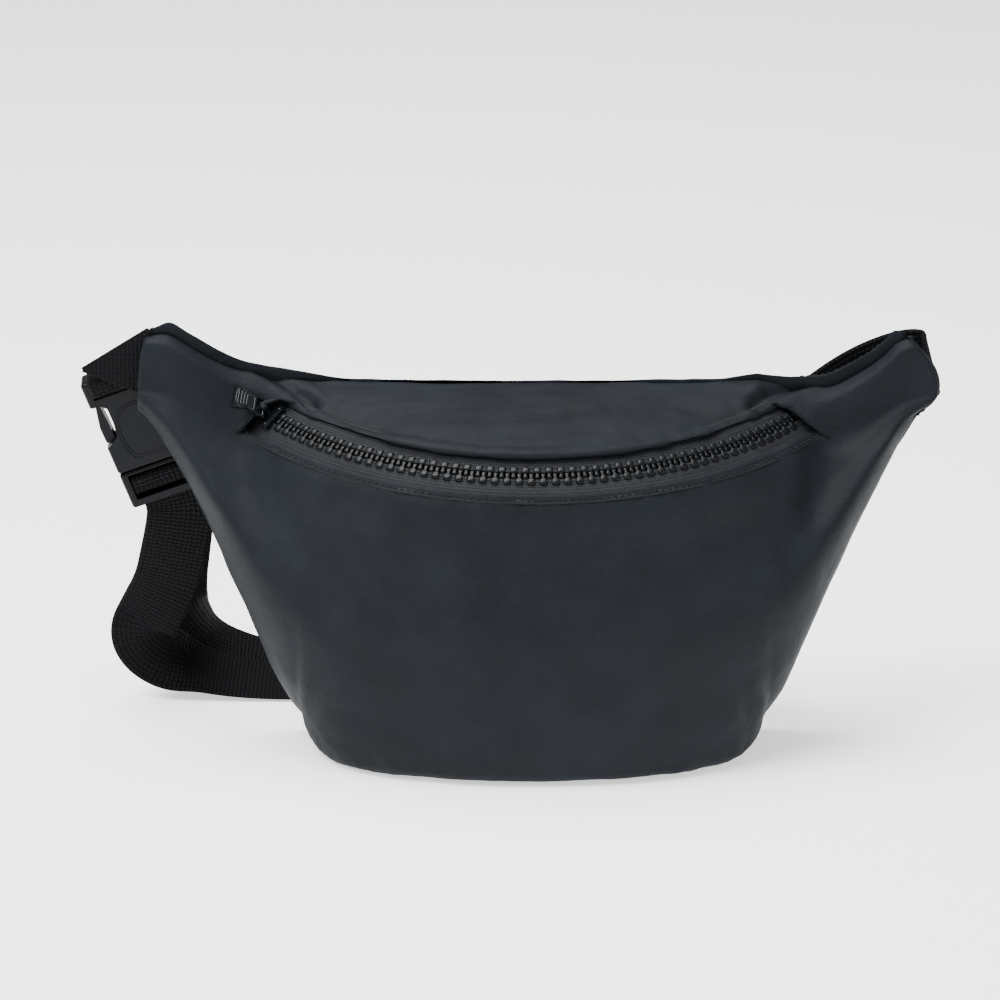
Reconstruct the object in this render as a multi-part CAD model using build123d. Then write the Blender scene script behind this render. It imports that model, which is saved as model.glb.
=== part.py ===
from build123d import *
import os
from math import cos, degrees, radians, sin, sqrt, tan

# Waist pack: a soft zipped pouch with a webbing belt and a side-release buckle.
# Frame: X to the wearer's left as seen from the front (viewer's right), Y from
# the front towards the wearer, +Z up. Origin: centre of the flat base.
# All sizes in millimetres.

os.makedirs("parts", exist_ok=True)

# ---- driving dimensions: pouch ----
BACK_Y = 40.0              # outer face of the back panel
HALF_LENGTH = 177.0        # wing tip, from the middle
BASE_HALF_WIDTH = 100.0
BASE_DEPTH = 70.0
BASE_ROUNDING = 3.0        # 2 is an ellipse, more is a fuller corner
BELLY_DEPTH = 82.0         # greatest front-to-back depth
WING_TIP_DEPTH = 8.0
WING_SHARE = {-1: 0.25, 1: 0.12}    # part of the belly's depth kept at each tape edge
CREST_RISE = 4.0           # extra climb of the tape edges' line out to the wing tips
WALL = 1.4                 # shell fabric and backing, one panel
LINING = 0.6
LINING_HALF_LENGTH = 141.0     # the wing tips are not lined
LAYER_GAP = 0.7            # between a panel and its lining
SEAM_GAP = 0.4             # between neighbouring panels
SIDE_LINE = [(0, -1.0), (95, -1.0), (104, 9), (111, 22), (131, 65), (152, 114), (167, 140), (177, 156)]
TOP_LINE = [(0, 167), (85, 168), (116, 173), (131, 176), (144, 183), (164, 195), (177, 190)]
STATIONS = [0, 22, 44, 64, 82, 97, 110, 122, 135, 150, 165, 177]

# ---- driving dimensions: zipper ----
ZIP_RADIUS = 150.0         # of the chain's arc
ZIP_MIDDLE = (-27.0, 142.0)    # y and z of the chain's middle
ZIP_PLANE_TILT = 10.8      # the arc's plane rises this much towards the back
TAPE_TILT = 31.2           # the tape's normal leans this much off the arc's axis
TAPE_HALF_WIDTH = 14.0
TAPE_THICKNESS = 0.6
TAPE_INNER = 2.2           # the tape's inner edge, held inside the teeth
UPPER_TAPE_END_ANGLE = 50.0
STOP_ANGLES = [(-55.0, -54.3), (52.8, 53.8)]
TAPE_END_ANGLE = 55.0
FLAP_ANGLE = 43.0          # the part of the zipper on the lifting top panel
FLAP_GAP_ANGLE = 0.25
FLAP_BACK_X = 116.0        # half length of the top panel's back seam
FLAP_SIDE_GAP = 1.6
FLAP_BACK_GAP = 2.3        # lets the top panel turn clear of the back panel
TOOTH_PITCH = 5.2
TOOTH_LENGTH = 3.0
TOOTH_INNER = 0.45         # gap from the chain's midline
TOOTH_OUTER = 4.4
TOOTH_HALF_HEIGHT = 1.3
TEETH_END_ANGLE = 48.5
SLIDER_ANGLE = -51.8
SLIDER_LENGTH = 11.5
SLIDER_HALF_WIDTH = 6.2
SLIDER_CHANNEL = 1.8       # half height of the slider's channel
SLIDER_PLATE = 1.3
BRIDGE_LENGTH = 6.4
BRIDGE_HEIGHT = 6.2
PIN_HEIGHT = 3.1           # of the pull's pin above the slider's plate
BRIDGE_WIDTH = 2.2
PULL_YAW = 52.0            # the pull lies this much off the chain's line
PULL_PITCH = 60.0          # and stands this much off the tape
PULL_ROLL = -21.0          # and is tipped towards the wing within its loose eye
PULL_LENGTH = 16.0
EYE_HALF_WIDTH = 3.4       # inside the pull's eye
EYE_BAR = 1.2
PULL_HALF_WAIST = 3.6
PULL_HALF_END = 6.0
PULL_THICKNESS = 2.2

# ---- driving dimensions: buckle, in its own frame (x right, y to the tab, z front) ----
BUCKLE_CENTRE = (-175.3, 52.5, 140.0)
BUCKLE_AXIS = (0.332, 0.15, -0.931)    # the way the plug pulls out
BUCKLE_ACROSS = (0.942, 0.0, 0.336)
BUCKLE_HALF_WIDTH = 19.0
BUCKLE_HALF_LENGTH = 33.0
BUCKLE_HALF_THICKNESS = 6.0
PARTING_Y = -14.5          # where socket and plug meet
WINDOW = (1.0, 20.0)       # side window, along y
WINDOW_DEPTH = 7.4
CAVITY_HALF_WIDTH = 17.4
CAVITY_HALF_HEIGHT = 3.6
PRONG_HALF_HEIGHT = 3.0
PRONG_X = (13.8, 17.0)
WEB_SLOT_HALF_WIDTH = 15.6
LADDER_SLOTS = (-18.8, -27.0)          # middle of each slot, along y
LADDER_SLOT_LENGTH = 4.4
GUIDE_TIP_Y = 12.0

# ---- driving dimensions: webbing ----
WEB_WIDTH = 30.0
WEB_THICKNESS = 1.3
WEB_SHIFT = 0.5            # the belt sits this far to the left in the buckle
LAYER_SPACE = 0.4          # between the two layers behind the ladder lock
SECTIONS_PER_RUN = 3


def along(points, x):
    """Straight interpolation in a short list of (x, value) pairs, mirrored about x = 0."""
    x = abs(x)
    for (x0, v0), (x1, v1) in zip(points, points[1:]):
        if x <= x1:
            return v0 + (v1 - v0) * (x - x0) / (x1 - x0)
    return points[-1][1]


# ---- zipper frame: the chain's arc lies about an inclined axis ----
TILT = radians(ZIP_PLANE_TILT)
ZIP_CENTRE = Vector(
    0,
    ZIP_MIDDLE[0] + ZIP_RADIUS * cos(TILT),
    ZIP_MIDDLE[1] + ZIP_RADIUS * sin(TILT),
)
ZIP_AXIS = Vector(0, -sin(TILT), cos(TILT))
# local frame at the arc's centre: x to the middle of the chain, z along the axis
ZIP_FRAME = Plane(ZIP_CENTRE, x_dir=Vector(0, -cos(TILT), -sin(TILT)), z_dir=ZIP_AXIS)
ACROSS_R = -cos(radians(TAPE_TILT))    # radial part of the direction from lower to upper tape
ACROSS_H = sin(radians(TAPE_TILT))


def zip_point(across, up):
    """Radius and height about the zipper's axis of a point beside the chain's midline."""
    radius = ZIP_RADIUS + across * ACROSS_R + up * ACROSS_H
    height = across * ACROSS_H - up * ACROSS_R
    return radius, height


def zip_world(angle, across=0.0, up=0.0):
    """World place of a point at an angle along the chain (positive to +X)."""
    radius, height = zip_point(across, up)
    turn = radians(angle)
    return ZIP_FRAME.from_local_coords(
        Vector(radius * cos(turn), radius * sin(turn), height)
    )


def zip_strip(across, up, angles):
    """Solid swept round the zipper's axis: a rectangle across x up, between two angles."""
    corners = [(across[0], up[0]), (across[1], up[0]), (across[1], up[1]), (across[0], up[1])]
    points = [(r, 0, h) for r, h in (zip_point(a, u) for a, u in corners)]
    face = make_face(Polyline(*points, close=True))
    solid = revolve(face, Axis.Z, angles[1] - angles[0])
    return ZIP_FRAME * Rot(0, 0, angles[0]) * solid


# ---- pouch outer form: sections across the length ----
def belly_depth(x):
    """How far the pouch stands in front of its thin wing tips at x."""
    return (BELLY_DEPTH - WING_TIP_DEPTH) * max(0.0, 1 - (abs(x) / 180) ** 2.4) ** 1.3


def crest(x, side, inset):
    """Depth and height of a tape edge at x; past the zipper's end it follows the wing."""
    radius, height = zip_point(side * TAPE_HALF_WIDTH, 0)
    limit_y = BACK_Y - WING_TIP_DEPTH
    cos_limit = (ZIP_CENTRE.Y - height * sin(TILT) - limit_y) / (radius * cos(TILT))
    end_x = radius * sqrt(1 - cos_limit ** 2)
    reach = sqrt(radius ** 2 - min(abs(x), end_x) ** 2)
    y = ZIP_CENTRE.Y - reach * cos(TILT) - height * sin(TILT)
    z = ZIP_CENTRE.Z - reach * sin(TILT) + height * cos(TILT)
    wing_y = limit_y - WING_SHARE[side] * belly_depth(x)
    rise = along(TOP_LINE, x) - along(TOP_LINE, min(abs(x), end_x))
    rise += CREST_RISE * max(0.0, abs(x) - end_x) / (HALF_LENGTH - end_x)
    return min(y, wing_y) + inset, z + rise - (inset if side > 0 else 0)


def section(x, inset):
    """Closed outline at x, in the YZ plane: flat back, base, bulging front, tape, top."""
    back = BACK_Y - inset
    low = along(SIDE_LINE, x) + inset
    top = along(TOP_LINE, x) - inset
    spread = max(0.0, 1 - (abs(x) / BASE_HALF_WIDTH) ** BASE_ROUNDING)
    base = back - max(3.0, BASE_DEPTH * spread ** (1 / BASE_ROUNDING) - inset)
    belly = BACK_Y - WING_TIP_DEPTH - belly_depth(x) + inset
    lower_y, lower_z = crest(x, -1, inset)
    upper_y, upper_z = crest(x, 1, inset)
    height = lower_z - low
    hip = base + 0.72 * (min(belly, base) - base)
    front = [
        (base, low),
        (hip, low + 0.2 * height),
        (min(belly, lower_y, base - 0.5), low + 0.52 * height),
        (lower_y, lower_z),
    ]
    place = Plane((x, 0, 0), x_dir=(0, 1, 0), z_dir=(1, 0, 0))
    corners = [(back, low), (base, low), (lower_y, lower_z), (upper_y, upper_z), (back, top)]
    edges = [
        Line(corners[0], corners[1]),
        Spline(*front),
        Line(corners[2], corners[3]),
        Line(corners[3], corners[4]),
        Line(corners[4], corners[0]),
    ]
    return place * make_face(edges)


def pouch_form(inset):
    """Closed solid of the whole pouch, inset evenly from its outer surface."""
    stations = sorted({s * k for s in STATIONS for k in (-1, 1)})
    tips = {-HALF_LENGTH: -HALF_LENGTH + inset, HALF_LENGTH: HALF_LENGTH - inset}
    faces = [section(tips.get(x, x), inset) for x in stations]
    return loft(faces, ruled=True)


def box_between(low, high):
    """Box from its lowest to its highest corner."""
    size = [b - a for a, b in zip(low, high)]
    return Pos(*low) * Box(*size, align=(Align.MIN, Align.MIN, Align.MIN))


def largest(shape):
    """The main solid of a shape, without the slivers that its cuts leave."""
    return max(shape.solids(), key=lambda solid: solid.volume)


ABOVE_BASE = box_between((-200, -60, 0), (200, 60, 200))
WITHIN_WINGS = box_between((-LINING_HALF_LENGTH, -60, 0), (LINING_HALF_LENGTH, 60, 200))
BEHIND_SEAM = box_between((-200, BACK_Y - WALL, -5), (200, BACK_Y + 5, 205))


def zip_cutter():
    """Room through the shell for the zipper and for its slider along its whole travel."""
    half = TAPE_HALF_WIDTH + SEAM_GAP
    return zip_strip((-half, half), (-7, 13), (-TAPE_END_ANGLE - 1, TAPE_END_ANGLE + 1))


def upper_side():
    """Everything on the top panel's side of the chain's midline."""
    return zip_strip((0, 110), (-60, 60), (-62, 62))


def flap_prism(gap):
    """Plan outline of the lifting top panel: its side seams run back from the zipper."""
    corner = zip_world(FLAP_ANGLE, TAPE_HALF_WIDTH)
    side = corner.X - gap
    back = FLAP_BACK_X - gap
    half = [(side, -70), (side, corner.Y), (back, BACK_Y), (back, BACK_Y + 20)]
    mirrored = [(-x, y) for x, y in reversed(half)]
    outline = make_face(Polyline(*[(x, y, 120) for x, y in half + mirrored], close=True))
    return extrude(outline, 90, dir=(0, 0, 1))


def panels(outset, inset):
    """A layer of the pouch between two insets, as (fixed part, lifting part)."""
    layer = (pouch_form(outset) - pouch_form(inset)) & ABOVE_BASE
    layer -= zip_cutter()
    zone = upper_side()
    fixed = layer - (flap_prism(0) & zone)
    lifting = layer & (flap_prism(FLAP_SIDE_GAP) & zone)
    return fixed, lifting


def make_pouch():
    """Shell panels and lining."""
    shell, lid = panels(0, WALL)
    lid_space = box_between((-200, BACK_Y - WALL - FLAP_BACK_GAP, 0), (200, BACK_Y + 5, 205))
    back_panel = pouch_form(0) & BEHIND_SEAM & ABOVE_BASE
    lining_in = WALL + LAYER_GAP
    lining, lid_lining = panels(lining_in, lining_in + LINING)
    lid_behind = box_between((-200, BACK_Y - WALL - 2 * FLAP_BACK_GAP, 0), (200, 60, 205))
    return {
        "back_panel": back_panel,
        "front_panel": largest(shell - BEHIND_SEAM),
        "top_panel": largest(lid - lid_space),
        "lining": largest(lining & WITHIN_WINGS),
        "top_lining": largest(lid_lining - lid_behind),
    }


# ---- zipper ----
def teeth(side, first, last):
    """One row of teeth as separate blocks between two angles along the chain."""
    step = degrees(TOOTH_PITCH / ZIP_RADIUS)
    half = degrees(TOOTH_LENGTH / ZIP_RADIUS) / 2
    count = int((last - first - 2 * half) / step)
    start = (first + last - (count - 1) * step) / 2 + side * step / 4
    across = sorted((side * TOOTH_INNER, side * TOOTH_OUTER))
    up = (-TOOTH_HALF_HEIGHT, TOOTH_HALF_HEIGHT)
    middles = [start + i * step for i in range(count)]
    return [zip_strip(across, up, (angle - half, angle + half)) for angle in middles]


def tape(side, first, last):
    """One stringer's tape between two angles."""
    across = sorted((side * TAPE_INNER, side * TAPE_HALF_WIDTH))
    return zip_strip(across, (-TAPE_THICKNESS / 2, TAPE_THICKNESS / 2), (first, last))


def make_zipper():
    """Tapes, rows of teeth and end stops."""
    stop_up = (-TOOTH_HALF_HEIGHT, TOOTH_HALF_HEIGHT)
    stop_across = (-TOOTH_OUTER, -TOOTH_INNER)
    gap = FLAP_GAP_ANGLE
    upper_end = UPPER_TAPE_END_ANGLE
    return {
        "lower_tape": tape(-1, -TAPE_END_ANGLE, TAPE_END_ANGLE),
        "upper_tape": tape(1, -FLAP_ANGLE + gap, FLAP_ANGLE - gap),
        "upper_tape_ends": Compound(
            [tape(1, -upper_end, -FLAP_ANGLE), tape(1, FLAP_ANGLE, upper_end)]
        ),
        "lower_teeth": Compound(teeth(-1, -TEETH_END_ANGLE, TEETH_END_ANGLE)),
        "upper_teeth": Compound(teeth(1, -FLAP_ANGLE + gap, FLAP_ANGLE - gap)),
        "upper_teeth_ends": Compound(
            teeth(1, -TEETH_END_ANGLE, -FLAP_ANGLE) + teeth(1, FLAP_ANGLE, TEETH_END_ANGLE)
        ),
        "zipper_end_stops": Compound(
            [zip_strip(stop_across, stop_up, pair) for pair in STOP_ANGLES]
        ),
    }


def slider_plane():
    """Frame at the slider: x along the chain to +X, y to the upper tape, z outward."""
    middle = zip_world(SLIDER_ANGLE)
    ahead = zip_world(SLIDER_ANGLE, 0, 1) - middle
    across = zip_world(SLIDER_ANGLE, 1, 0) - middle
    return Plane(middle, x_dir=across.cross(ahead), z_dir=ahead)


def make_slider():
    """Slider body: two plates joined by a thin web, rims along the sides, a pull bridge."""
    half = degrees(SLIDER_LENGTH / 2 / ZIP_RADIUS)
    angles = (SLIDER_ANGLE - half, SLIDER_ANGLE + half)
    inner = SLIDER_CHANNEL
    outer = SLIDER_CHANNEL + SLIDER_PLATE
    width = SLIDER_HALF_WIDTH
    rim = width - 1.0
    body = zip_strip((-width, width), (inner, outer), angles)
    body += zip_strip((-width, width), (-outer, -inner), angles)
    web = (SLIDER_ANGLE - half, SLIDER_ANGLE - half / 3)
    body += zip_strip((-0.3, 0.3), (-inner - 0.1, inner + 0.1), web)
    for side in (-1, 1):
        across = sorted((side * rim, side * width))
        body += zip_strip(across, (TAPE_THICKNESS, inner + 0.1), angles)
        body += zip_strip(across, (-inner - 0.1, -TAPE_THICKNESS), angles)
    frame = slider_plane()
    arch = Rectangle(BRIDGE_LENGTH, 2 * BRIDGE_HEIGHT) - Rectangle(
        BRIDGE_LENGTH - 2.6, 2 * BRIDGE_HEIGHT - 2.6
    )
    arch &= Pos(0, BRIDGE_HEIGHT) * Rectangle(20, 2 * BRIDGE_HEIGHT)
    upright = Plane((0, 0, outer - 0.15), x_dir=(1, 0, 0), z_dir=(0, -1, 0))
    bridge = extrude(upright * arch, BRIDGE_WIDTH / 2, both=True)
    return body + frame * bridge


def pull_plane():
    """Frame of the pull at rest: origin on its eye's pin, x along the tab, z outward."""
    pin_height = SLIDER_CHANNEL + SLIDER_PLATE + PIN_HEIGHT
    turn = Rot(0, 0, 180 + PULL_YAW) * Rot(0, -PULL_PITCH, 0) * Rot(PULL_ROLL, 0, 0)
    place = slider_plane() * Pos(0, 0, pin_height) * turn
    return Plane(place)


def make_pull():
    """Flared pull tab with an open eye whose pin turns under the slider's bridge."""
    eye = EYE_HALF_WIDTH + EYE_BAR
    neck = 4.8
    waist = PULL_LENGTH * 0.5
    half = [(neck, eye), (waist, PULL_HALF_WAIST), (PULL_LENGTH, PULL_HALF_END)]
    tab = half + [(x, -y) for x, y in reversed(half)]
    pull = extrude(make_face(Polyline(*tab, close=True)), PULL_THICKNESS / 2, both=True)
    for side in (-1, 1):
        arm = Box(neck + 0.3, EYE_BAR, 1.7)
        pull += Pos((neck + 0.3) / 2, side * (eye - EYE_BAR / 2), 0) * arm
    pull += Rot(90, 0, 0) * Cylinder(0.85, 2 * eye)
    return pull_plane() * pull


# ---- buckle ----
def buckle_plane():
    """The buckle's own frame in the world."""
    across = Vector(*BUCKLE_ACROSS)
    front = -across.cross(Vector(*BUCKLE_AXIS))
    return Plane(Vector(*BUCKLE_CENTRE), x_dir=across, z_dir=front)


def rounded_plate(low, high, half_thickness, radius):
    """Plate between two corners in the buckle's plane, with rounded edges."""
    size = (high[0] - low[0], high[1] - low[1], 2 * half_thickness)
    plate = Pos((low[0] + high[0]) / 2, (low[1] + high[1]) / 2, 0) * Box(*size)
    return fillet(plate.edges(), radius)


def make_socket():
    """Female half: hollow body, two side windows and a bar for the tab webbing."""
    half = BUCKLE_HALF_WIDTH
    top = BUCKLE_HALF_LENGTH
    body = rounded_plate((-half, PARTING_Y), (half, top), BUCKLE_HALF_THICKNESS, 1.6)
    depth = WINDOW[1] + 1.5 - PARTING_Y
    cavity = Pos(0, PARTING_Y + depth / 2, 0) * Box(
        2 * CAVITY_HALF_WIDTH, depth, 2 * CAVITY_HALF_HEIGHT
    )
    body -= cavity
    for side in (-1, 1):
        window = [
            (side * (half + 1), WINDOW[0] - 2.5),
            (side * (half - WINDOW_DEPTH + 1), WINDOW[0] + 2.5),
            (side * (half - WINDOW_DEPTH), WINDOW[0] + 9),
            (side * (half - WINDOW_DEPTH), WINDOW[1] - 2),
            (side * (half - WINDOW_DEPTH + 2), WINDOW[1]),
            (side * (half + 1), WINDOW[1] + 1),
        ]
        opening = extrude(make_face(Polyline(*window, close=True)), 10, both=True)
        body -= opening
    slot = Pos(0, top - 7.0, 0) * Box(2 * WEB_SLOT_HALF_WIDTH, 4.6, 20)
    return buckle_plane() * (body - slot)


def make_plug():
    """Male half: ladder-lock base, centre guide and the two arms' roots."""
    half = BUCKLE_HALF_WIDTH
    low = -BUCKLE_HALF_LENGTH
    base = rounded_plate((-half, low), (half, PARTING_Y - 0.3), BUCKLE_HALF_THICKNESS - 0.5, 1.5)
    for slot_y in LADDER_SLOTS:
        base -= Pos(0, slot_y, 0) * Box(2 * WEB_SLOT_HALF_WIDTH, LADDER_SLOT_LENGTH, 20)
    trim = Pos(0, (LADDER_SLOTS[0] + LADDER_SLOTS[1]) / 2, 0)
    for side in (-1, 1):
        base -= trim * Pos(0, 0, side * (BUCKLE_HALF_THICKNESS + 1.0)) * Box(
            2 * WEB_SLOT_HALF_WIDTH, LADDER_SLOTS[0] - LADDER_SLOTS[1], 7.0
        )
    guide_length = GUIDE_TIP_Y - PARTING_Y + 1
    guide = Pos(0, PARTING_Y - 1 + guide_length / 2, 0) * Box(4.4, guide_length, 3.0)
    return buckle_plane() * (base + guide)


def make_prong(side):
    """One springy arm with the shoulder that fills the socket's side window."""
    inner, outer = PRONG_X
    outline = [
        (inner, PARTING_Y + 0.1),
        (outer, PARTING_Y + 0.1),
        (outer, WINDOW[0] + 0.2),
        (BUCKLE_HALF_WIDTH - 0.4, WINDOW[0] + 0.2),
        (BUCKLE_HALF_WIDTH - 0.2, WINDOW[0] + 8),
        (outer, WINDOW[1] - 1.2),
        (inner + 1, WINDOW[1] - 0.8),
        (inner + 0.4, WINDOW[0] + 9),
    ]
    points = [(side * x, y) for x, y in outline]
    arm = extrude(make_face(Polyline(*points, close=True)), PRONG_HALF_HEIGHT, both=True)
    return buckle_plane() * arm


def buckle_point(x, y, z=0.0):
    """World place of a point given in the buckle's frame."""
    return buckle_plane().from_local_coords(Vector(x, y, z))


# ---- webbing ----
def corner_radii(points):
    """Radius at each inner corner: 0.45 of the shorter run over the half turn's tangent."""
    radii = []
    for before, corner, after in zip(points, points[1:], points[2:]):
        run_in = Vector(*corner) - Vector(*before)
        run_out = Vector(*after) - Vector(*corner)
        half_turn = radians(run_in.get_angle(run_out)) / 2
        radii.append(0.45 * min(run_in.length, run_out.length) / tan(half_turn))
    return radii


def ribbon(route, cuts):
    """Flat webbing along straight runs and tangent arcs, its width turning on the way.

    Each entry of the route is a point and the direction of the webbing's width there.
    The cuts name the pieces and give the point of the route where each one ends.
    """
    points = [point for point, _ in route]
    widths = [Vector(*width).normalized() for _, width in route]
    radii = corner_radii(points)
    path = FilletPolyline(*points, radius=radii)
    runs = [(Vector(*b) - Vector(*a)).length for a, b in zip(points, points[1:])]
    reach = [sum(runs[:i]) / sum(runs) for i in range(len(points))]
    sections = []
    for step in range(SECTIONS_PER_RUN * (len(points) - 1) + 1):
        run = min(step // SECTIONS_PER_RUN, len(points) - 2)
        part = step / SECTIONS_PER_RUN - run
        share = reach[run] * (1 - part) + reach[run + 1] * part
        width = widths[run] * (1 - part) + widths[run + 1] * part
        ahead = path % share
        width = (width - ahead * width.dot(ahead)).normalized()
        place = Plane(path @ share, x_dir=width, z_dir=ahead)
        sections.append(place * Rectangle(WEB_WIDTH, WEB_THICKNESS))
    pieces = {}
    first = 0
    for name, end in cuts.items():
        last = end * SECTIONS_PER_RUN
        pieces[name] = loft(sections[first : last + 1], ruled=True)
        first = last
    volume = sum(piece.volume for piece in pieces.values())
    ratio = volume / (path.length * WEB_WIDTH * WEB_THICKNESS)
    print(f"webbing {path.length:.1f} long, volume over section times length {ratio:.3f}")
    print("radii", [round(radius, 1) for radius in radii])
    return pieces


# Belt from the right wing's end seam to the ladder lock: point, direction of its width.
BELT_ROUTE = [
    ((177.2, 37.4, 176), (0.0, 0.0, 1.0)),
    ((181.6, 38.6, 176.4), (0.0, 0.0, 1.0)),
    ((182.2, 45.2, 176.6), (-0.1, 0.0, 1.0)),
    ((169, 49.5, 176), (-0.25, 0.05, 1.0)),
    ((146, 54, 166), (-0.4, 0.0, 0.92)),
    ((122, 59, 142), (-0.65, 0.0, 0.76)),
    ((107, 67, 104), (-0.95, 0.0, 0.35)),
    ((97, 80, 58), (-1.0, 0.05, 0.2)),
    ((84, 94, 26), (-0.75, 0.75, 0.3)),
    ((63, 107, 8), (-0.3, 1.0, 0.2)),
    ((34, 111, 1.8), (0.1, 1.0, 0.02)),
    ((-10, 108, 1.2), (0.1, 1.0, 0.0)),
    ((-60, 112, 1.2), (0.0, 1.0, 0.0)),
    ((-106, 119, 2.4), (-0.05, 1.0, 0.12)),
    ((-135, 121.5, 6.8), (-0.1, 1.0, 0.45)),
    ((-152, 116, 14), (0.15, 0.8, 0.65)),
    ((-162, 107, 27), (0.55, 0.5, 0.65)),
    ((-167, 96, 42), (0.9, 0.15, 0.3)),
    ((-166.5, 85, 59), (1.0, 0.0, 0.06)),
    ((-164, 75.5, 75), (0.98, 0.0, 0.15)),
    ((-162, 69.5, 90), (0.95, 0.0, 0.3)),
    ((-161.7, 67.0, 100.6), (0.942, 0.0, 0.336)),
    ((-164.4, 65.8, 108.0), (0.942, 0.0, 0.336)),
]
BELT_PIECES = {"belt_right": 8, "belt_floor": 14, "belt_hanging": 22}

# The belt's loose tail, from the ladder lock to its free end.
TAIL_ROUTE = [
    ((-164.3, 64.1, 107.8), (0.942, 0.0, 0.336)),
    ((-161.6, 65.3, 100.4), (0.942, 0.0, 0.336)),
    ((-162.8, 67, 90), (0.95, 0.0, 0.3)),
    ((-166, 70, 75), (0.98, 0.0, 0.15)),
    ((-169.5, 73.5, 60), (1.0, 0.0, 0.06)),
    ((-176.5, 76, 46), (0.92, -0.18, 0.4)),
    ((-183, 78.5, 33.5), (0.62, -0.25, 0.75)),
    ((-176.5, 84, 21.5), (0.2, 0.15, 0.95)),
    ((-158, 90, 12), (-0.05, 0.85, 0.5)),
    ((-135, 91, 6), (0.0, 0.93, 0.3)),
    ((-107, 91, 3.2), (0.0, 1.0, 0.15)),
    ((-68, 88.5, 3.0), (0.05, 1.0, 0.0)),
    ((-30, 86, 2.8), (0.05, 1.0, 0.0)),
]
TAIL_PIECES = {"tail_hanging": 9, "tail_floor": 12}


def box_rows(rows):
    """Webbing in the buckle's frame, as boxes across it: each row is its y and z limits."""
    left = -WEB_WIDTH / 2 - WEB_SHIFT
    right = left + WEB_WIDTH
    boxes = [box_between((left, y0, z0), (right, y1, z1)) for (y0, y1), (z0, z1) in rows]
    webbing = boxes[0]
    for box in boxes[1:]:
        webbing += box
    return buckle_plane() * webbing


def make_belt_wrap():
    """The belt where it goes up behind the ladder lock, over its bar and down again."""
    thick = WEB_THICKNESS
    upper, lower = LADDER_SLOTS
    end = -BUCKLE_HALF_LENGTH - 2.0
    front = BUCKLE_HALF_THICKNESS - 0.9
    rear = -BUCKLE_HALF_THICKNESS - 1.4
    tail = rear + LAYER_SPACE
    return box_rows([
        ((end, upper + thick / 2), (rear - thick, rear)),
        ((upper - thick / 2, upper + thick / 2), (rear - thick, front)),
        ((lower - thick / 2, upper + thick / 2), (front - thick, front)),
        ((lower - thick / 2, lower + thick / 2), (tail, front)),
        ((end, lower + thick / 2), (tail, tail + thick)),
    ])


def make_tab_webbing():
    """Webbing from the left wing's end, folded down and looped round the socket's bar."""
    thick = WEB_THICKNESS
    face = BUCKLE_HALF_THICKNESS + 0.2
    low = BUCKLE_HALF_LENGTH - 7.0
    high = BUCKLE_HALF_LENGTH + 0.3
    loop = box_rows([
        ((low, high + thick), (face, face + thick)),
        ((low, low + thick), (-face - thick, face + thick)),
        ((low, high + thick), (-face - thick, -face)),
        ((high, high + thick), (-face - thick, face + thick)),
    ])
    fold = [(0, 193), (4, 192), (27, 171.5), (24, 165.5), (0, 161)]
    wing_end = Plane((-HALF_LENGTH - 1.0, 38.2, 0), x_dir=(-0.99, 0.1, 0), z_dir=(0.1, 0.99, 0))
    return loop + extrude(wing_end * make_face(Polyline(*fold, close=True)), thick, both=True)


if __name__ == "__main__":
    nodes = make_pouch()
    nodes.update(make_zipper())
    nodes["slider_body"] = make_slider()
    nodes["pull_tab"] = make_pull()
    nodes["buckle_socket"] = make_socket()
    nodes["buckle_plug"] = make_plug()
    nodes["left_prong"] = make_prong(-1)
    nodes["right_prong"] = make_prong(1)
    nodes["tab_webbing"] = make_tab_webbing()
    nodes["belt_wrap"] = make_belt_wrap()
    nodes.update(ribbon(BELT_ROUTE, BELT_PIECES))
    nodes.update(ribbon(TAIL_ROUTE, TAIL_PIECES))
    for name, shape in nodes.items():
        export_step(shape, f"parts/{name}.step")
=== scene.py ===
from contextlib import contextmanager
from math import cos, degrees, pi, radians, sin, sqrt

import bmesh
import bpy
import numpy as np
from mathutils import Matrix, Vector, noise
from mathutils.bvhtree import BVHTree
from numpy.linalg import norm


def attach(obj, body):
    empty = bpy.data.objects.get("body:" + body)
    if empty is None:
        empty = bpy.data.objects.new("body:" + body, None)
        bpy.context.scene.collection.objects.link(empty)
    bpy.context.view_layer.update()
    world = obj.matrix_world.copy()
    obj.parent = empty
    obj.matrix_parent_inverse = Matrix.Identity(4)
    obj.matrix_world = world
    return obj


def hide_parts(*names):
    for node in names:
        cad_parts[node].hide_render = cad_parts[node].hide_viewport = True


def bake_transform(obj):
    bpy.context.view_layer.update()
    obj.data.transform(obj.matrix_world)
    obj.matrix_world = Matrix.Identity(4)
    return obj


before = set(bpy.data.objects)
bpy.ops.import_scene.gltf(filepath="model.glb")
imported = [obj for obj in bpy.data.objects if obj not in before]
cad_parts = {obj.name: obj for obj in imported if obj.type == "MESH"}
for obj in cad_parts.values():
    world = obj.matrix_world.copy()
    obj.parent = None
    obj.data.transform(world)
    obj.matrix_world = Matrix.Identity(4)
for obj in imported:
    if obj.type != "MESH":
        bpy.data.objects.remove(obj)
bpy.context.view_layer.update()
scene = bpy.context.scene

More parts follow.
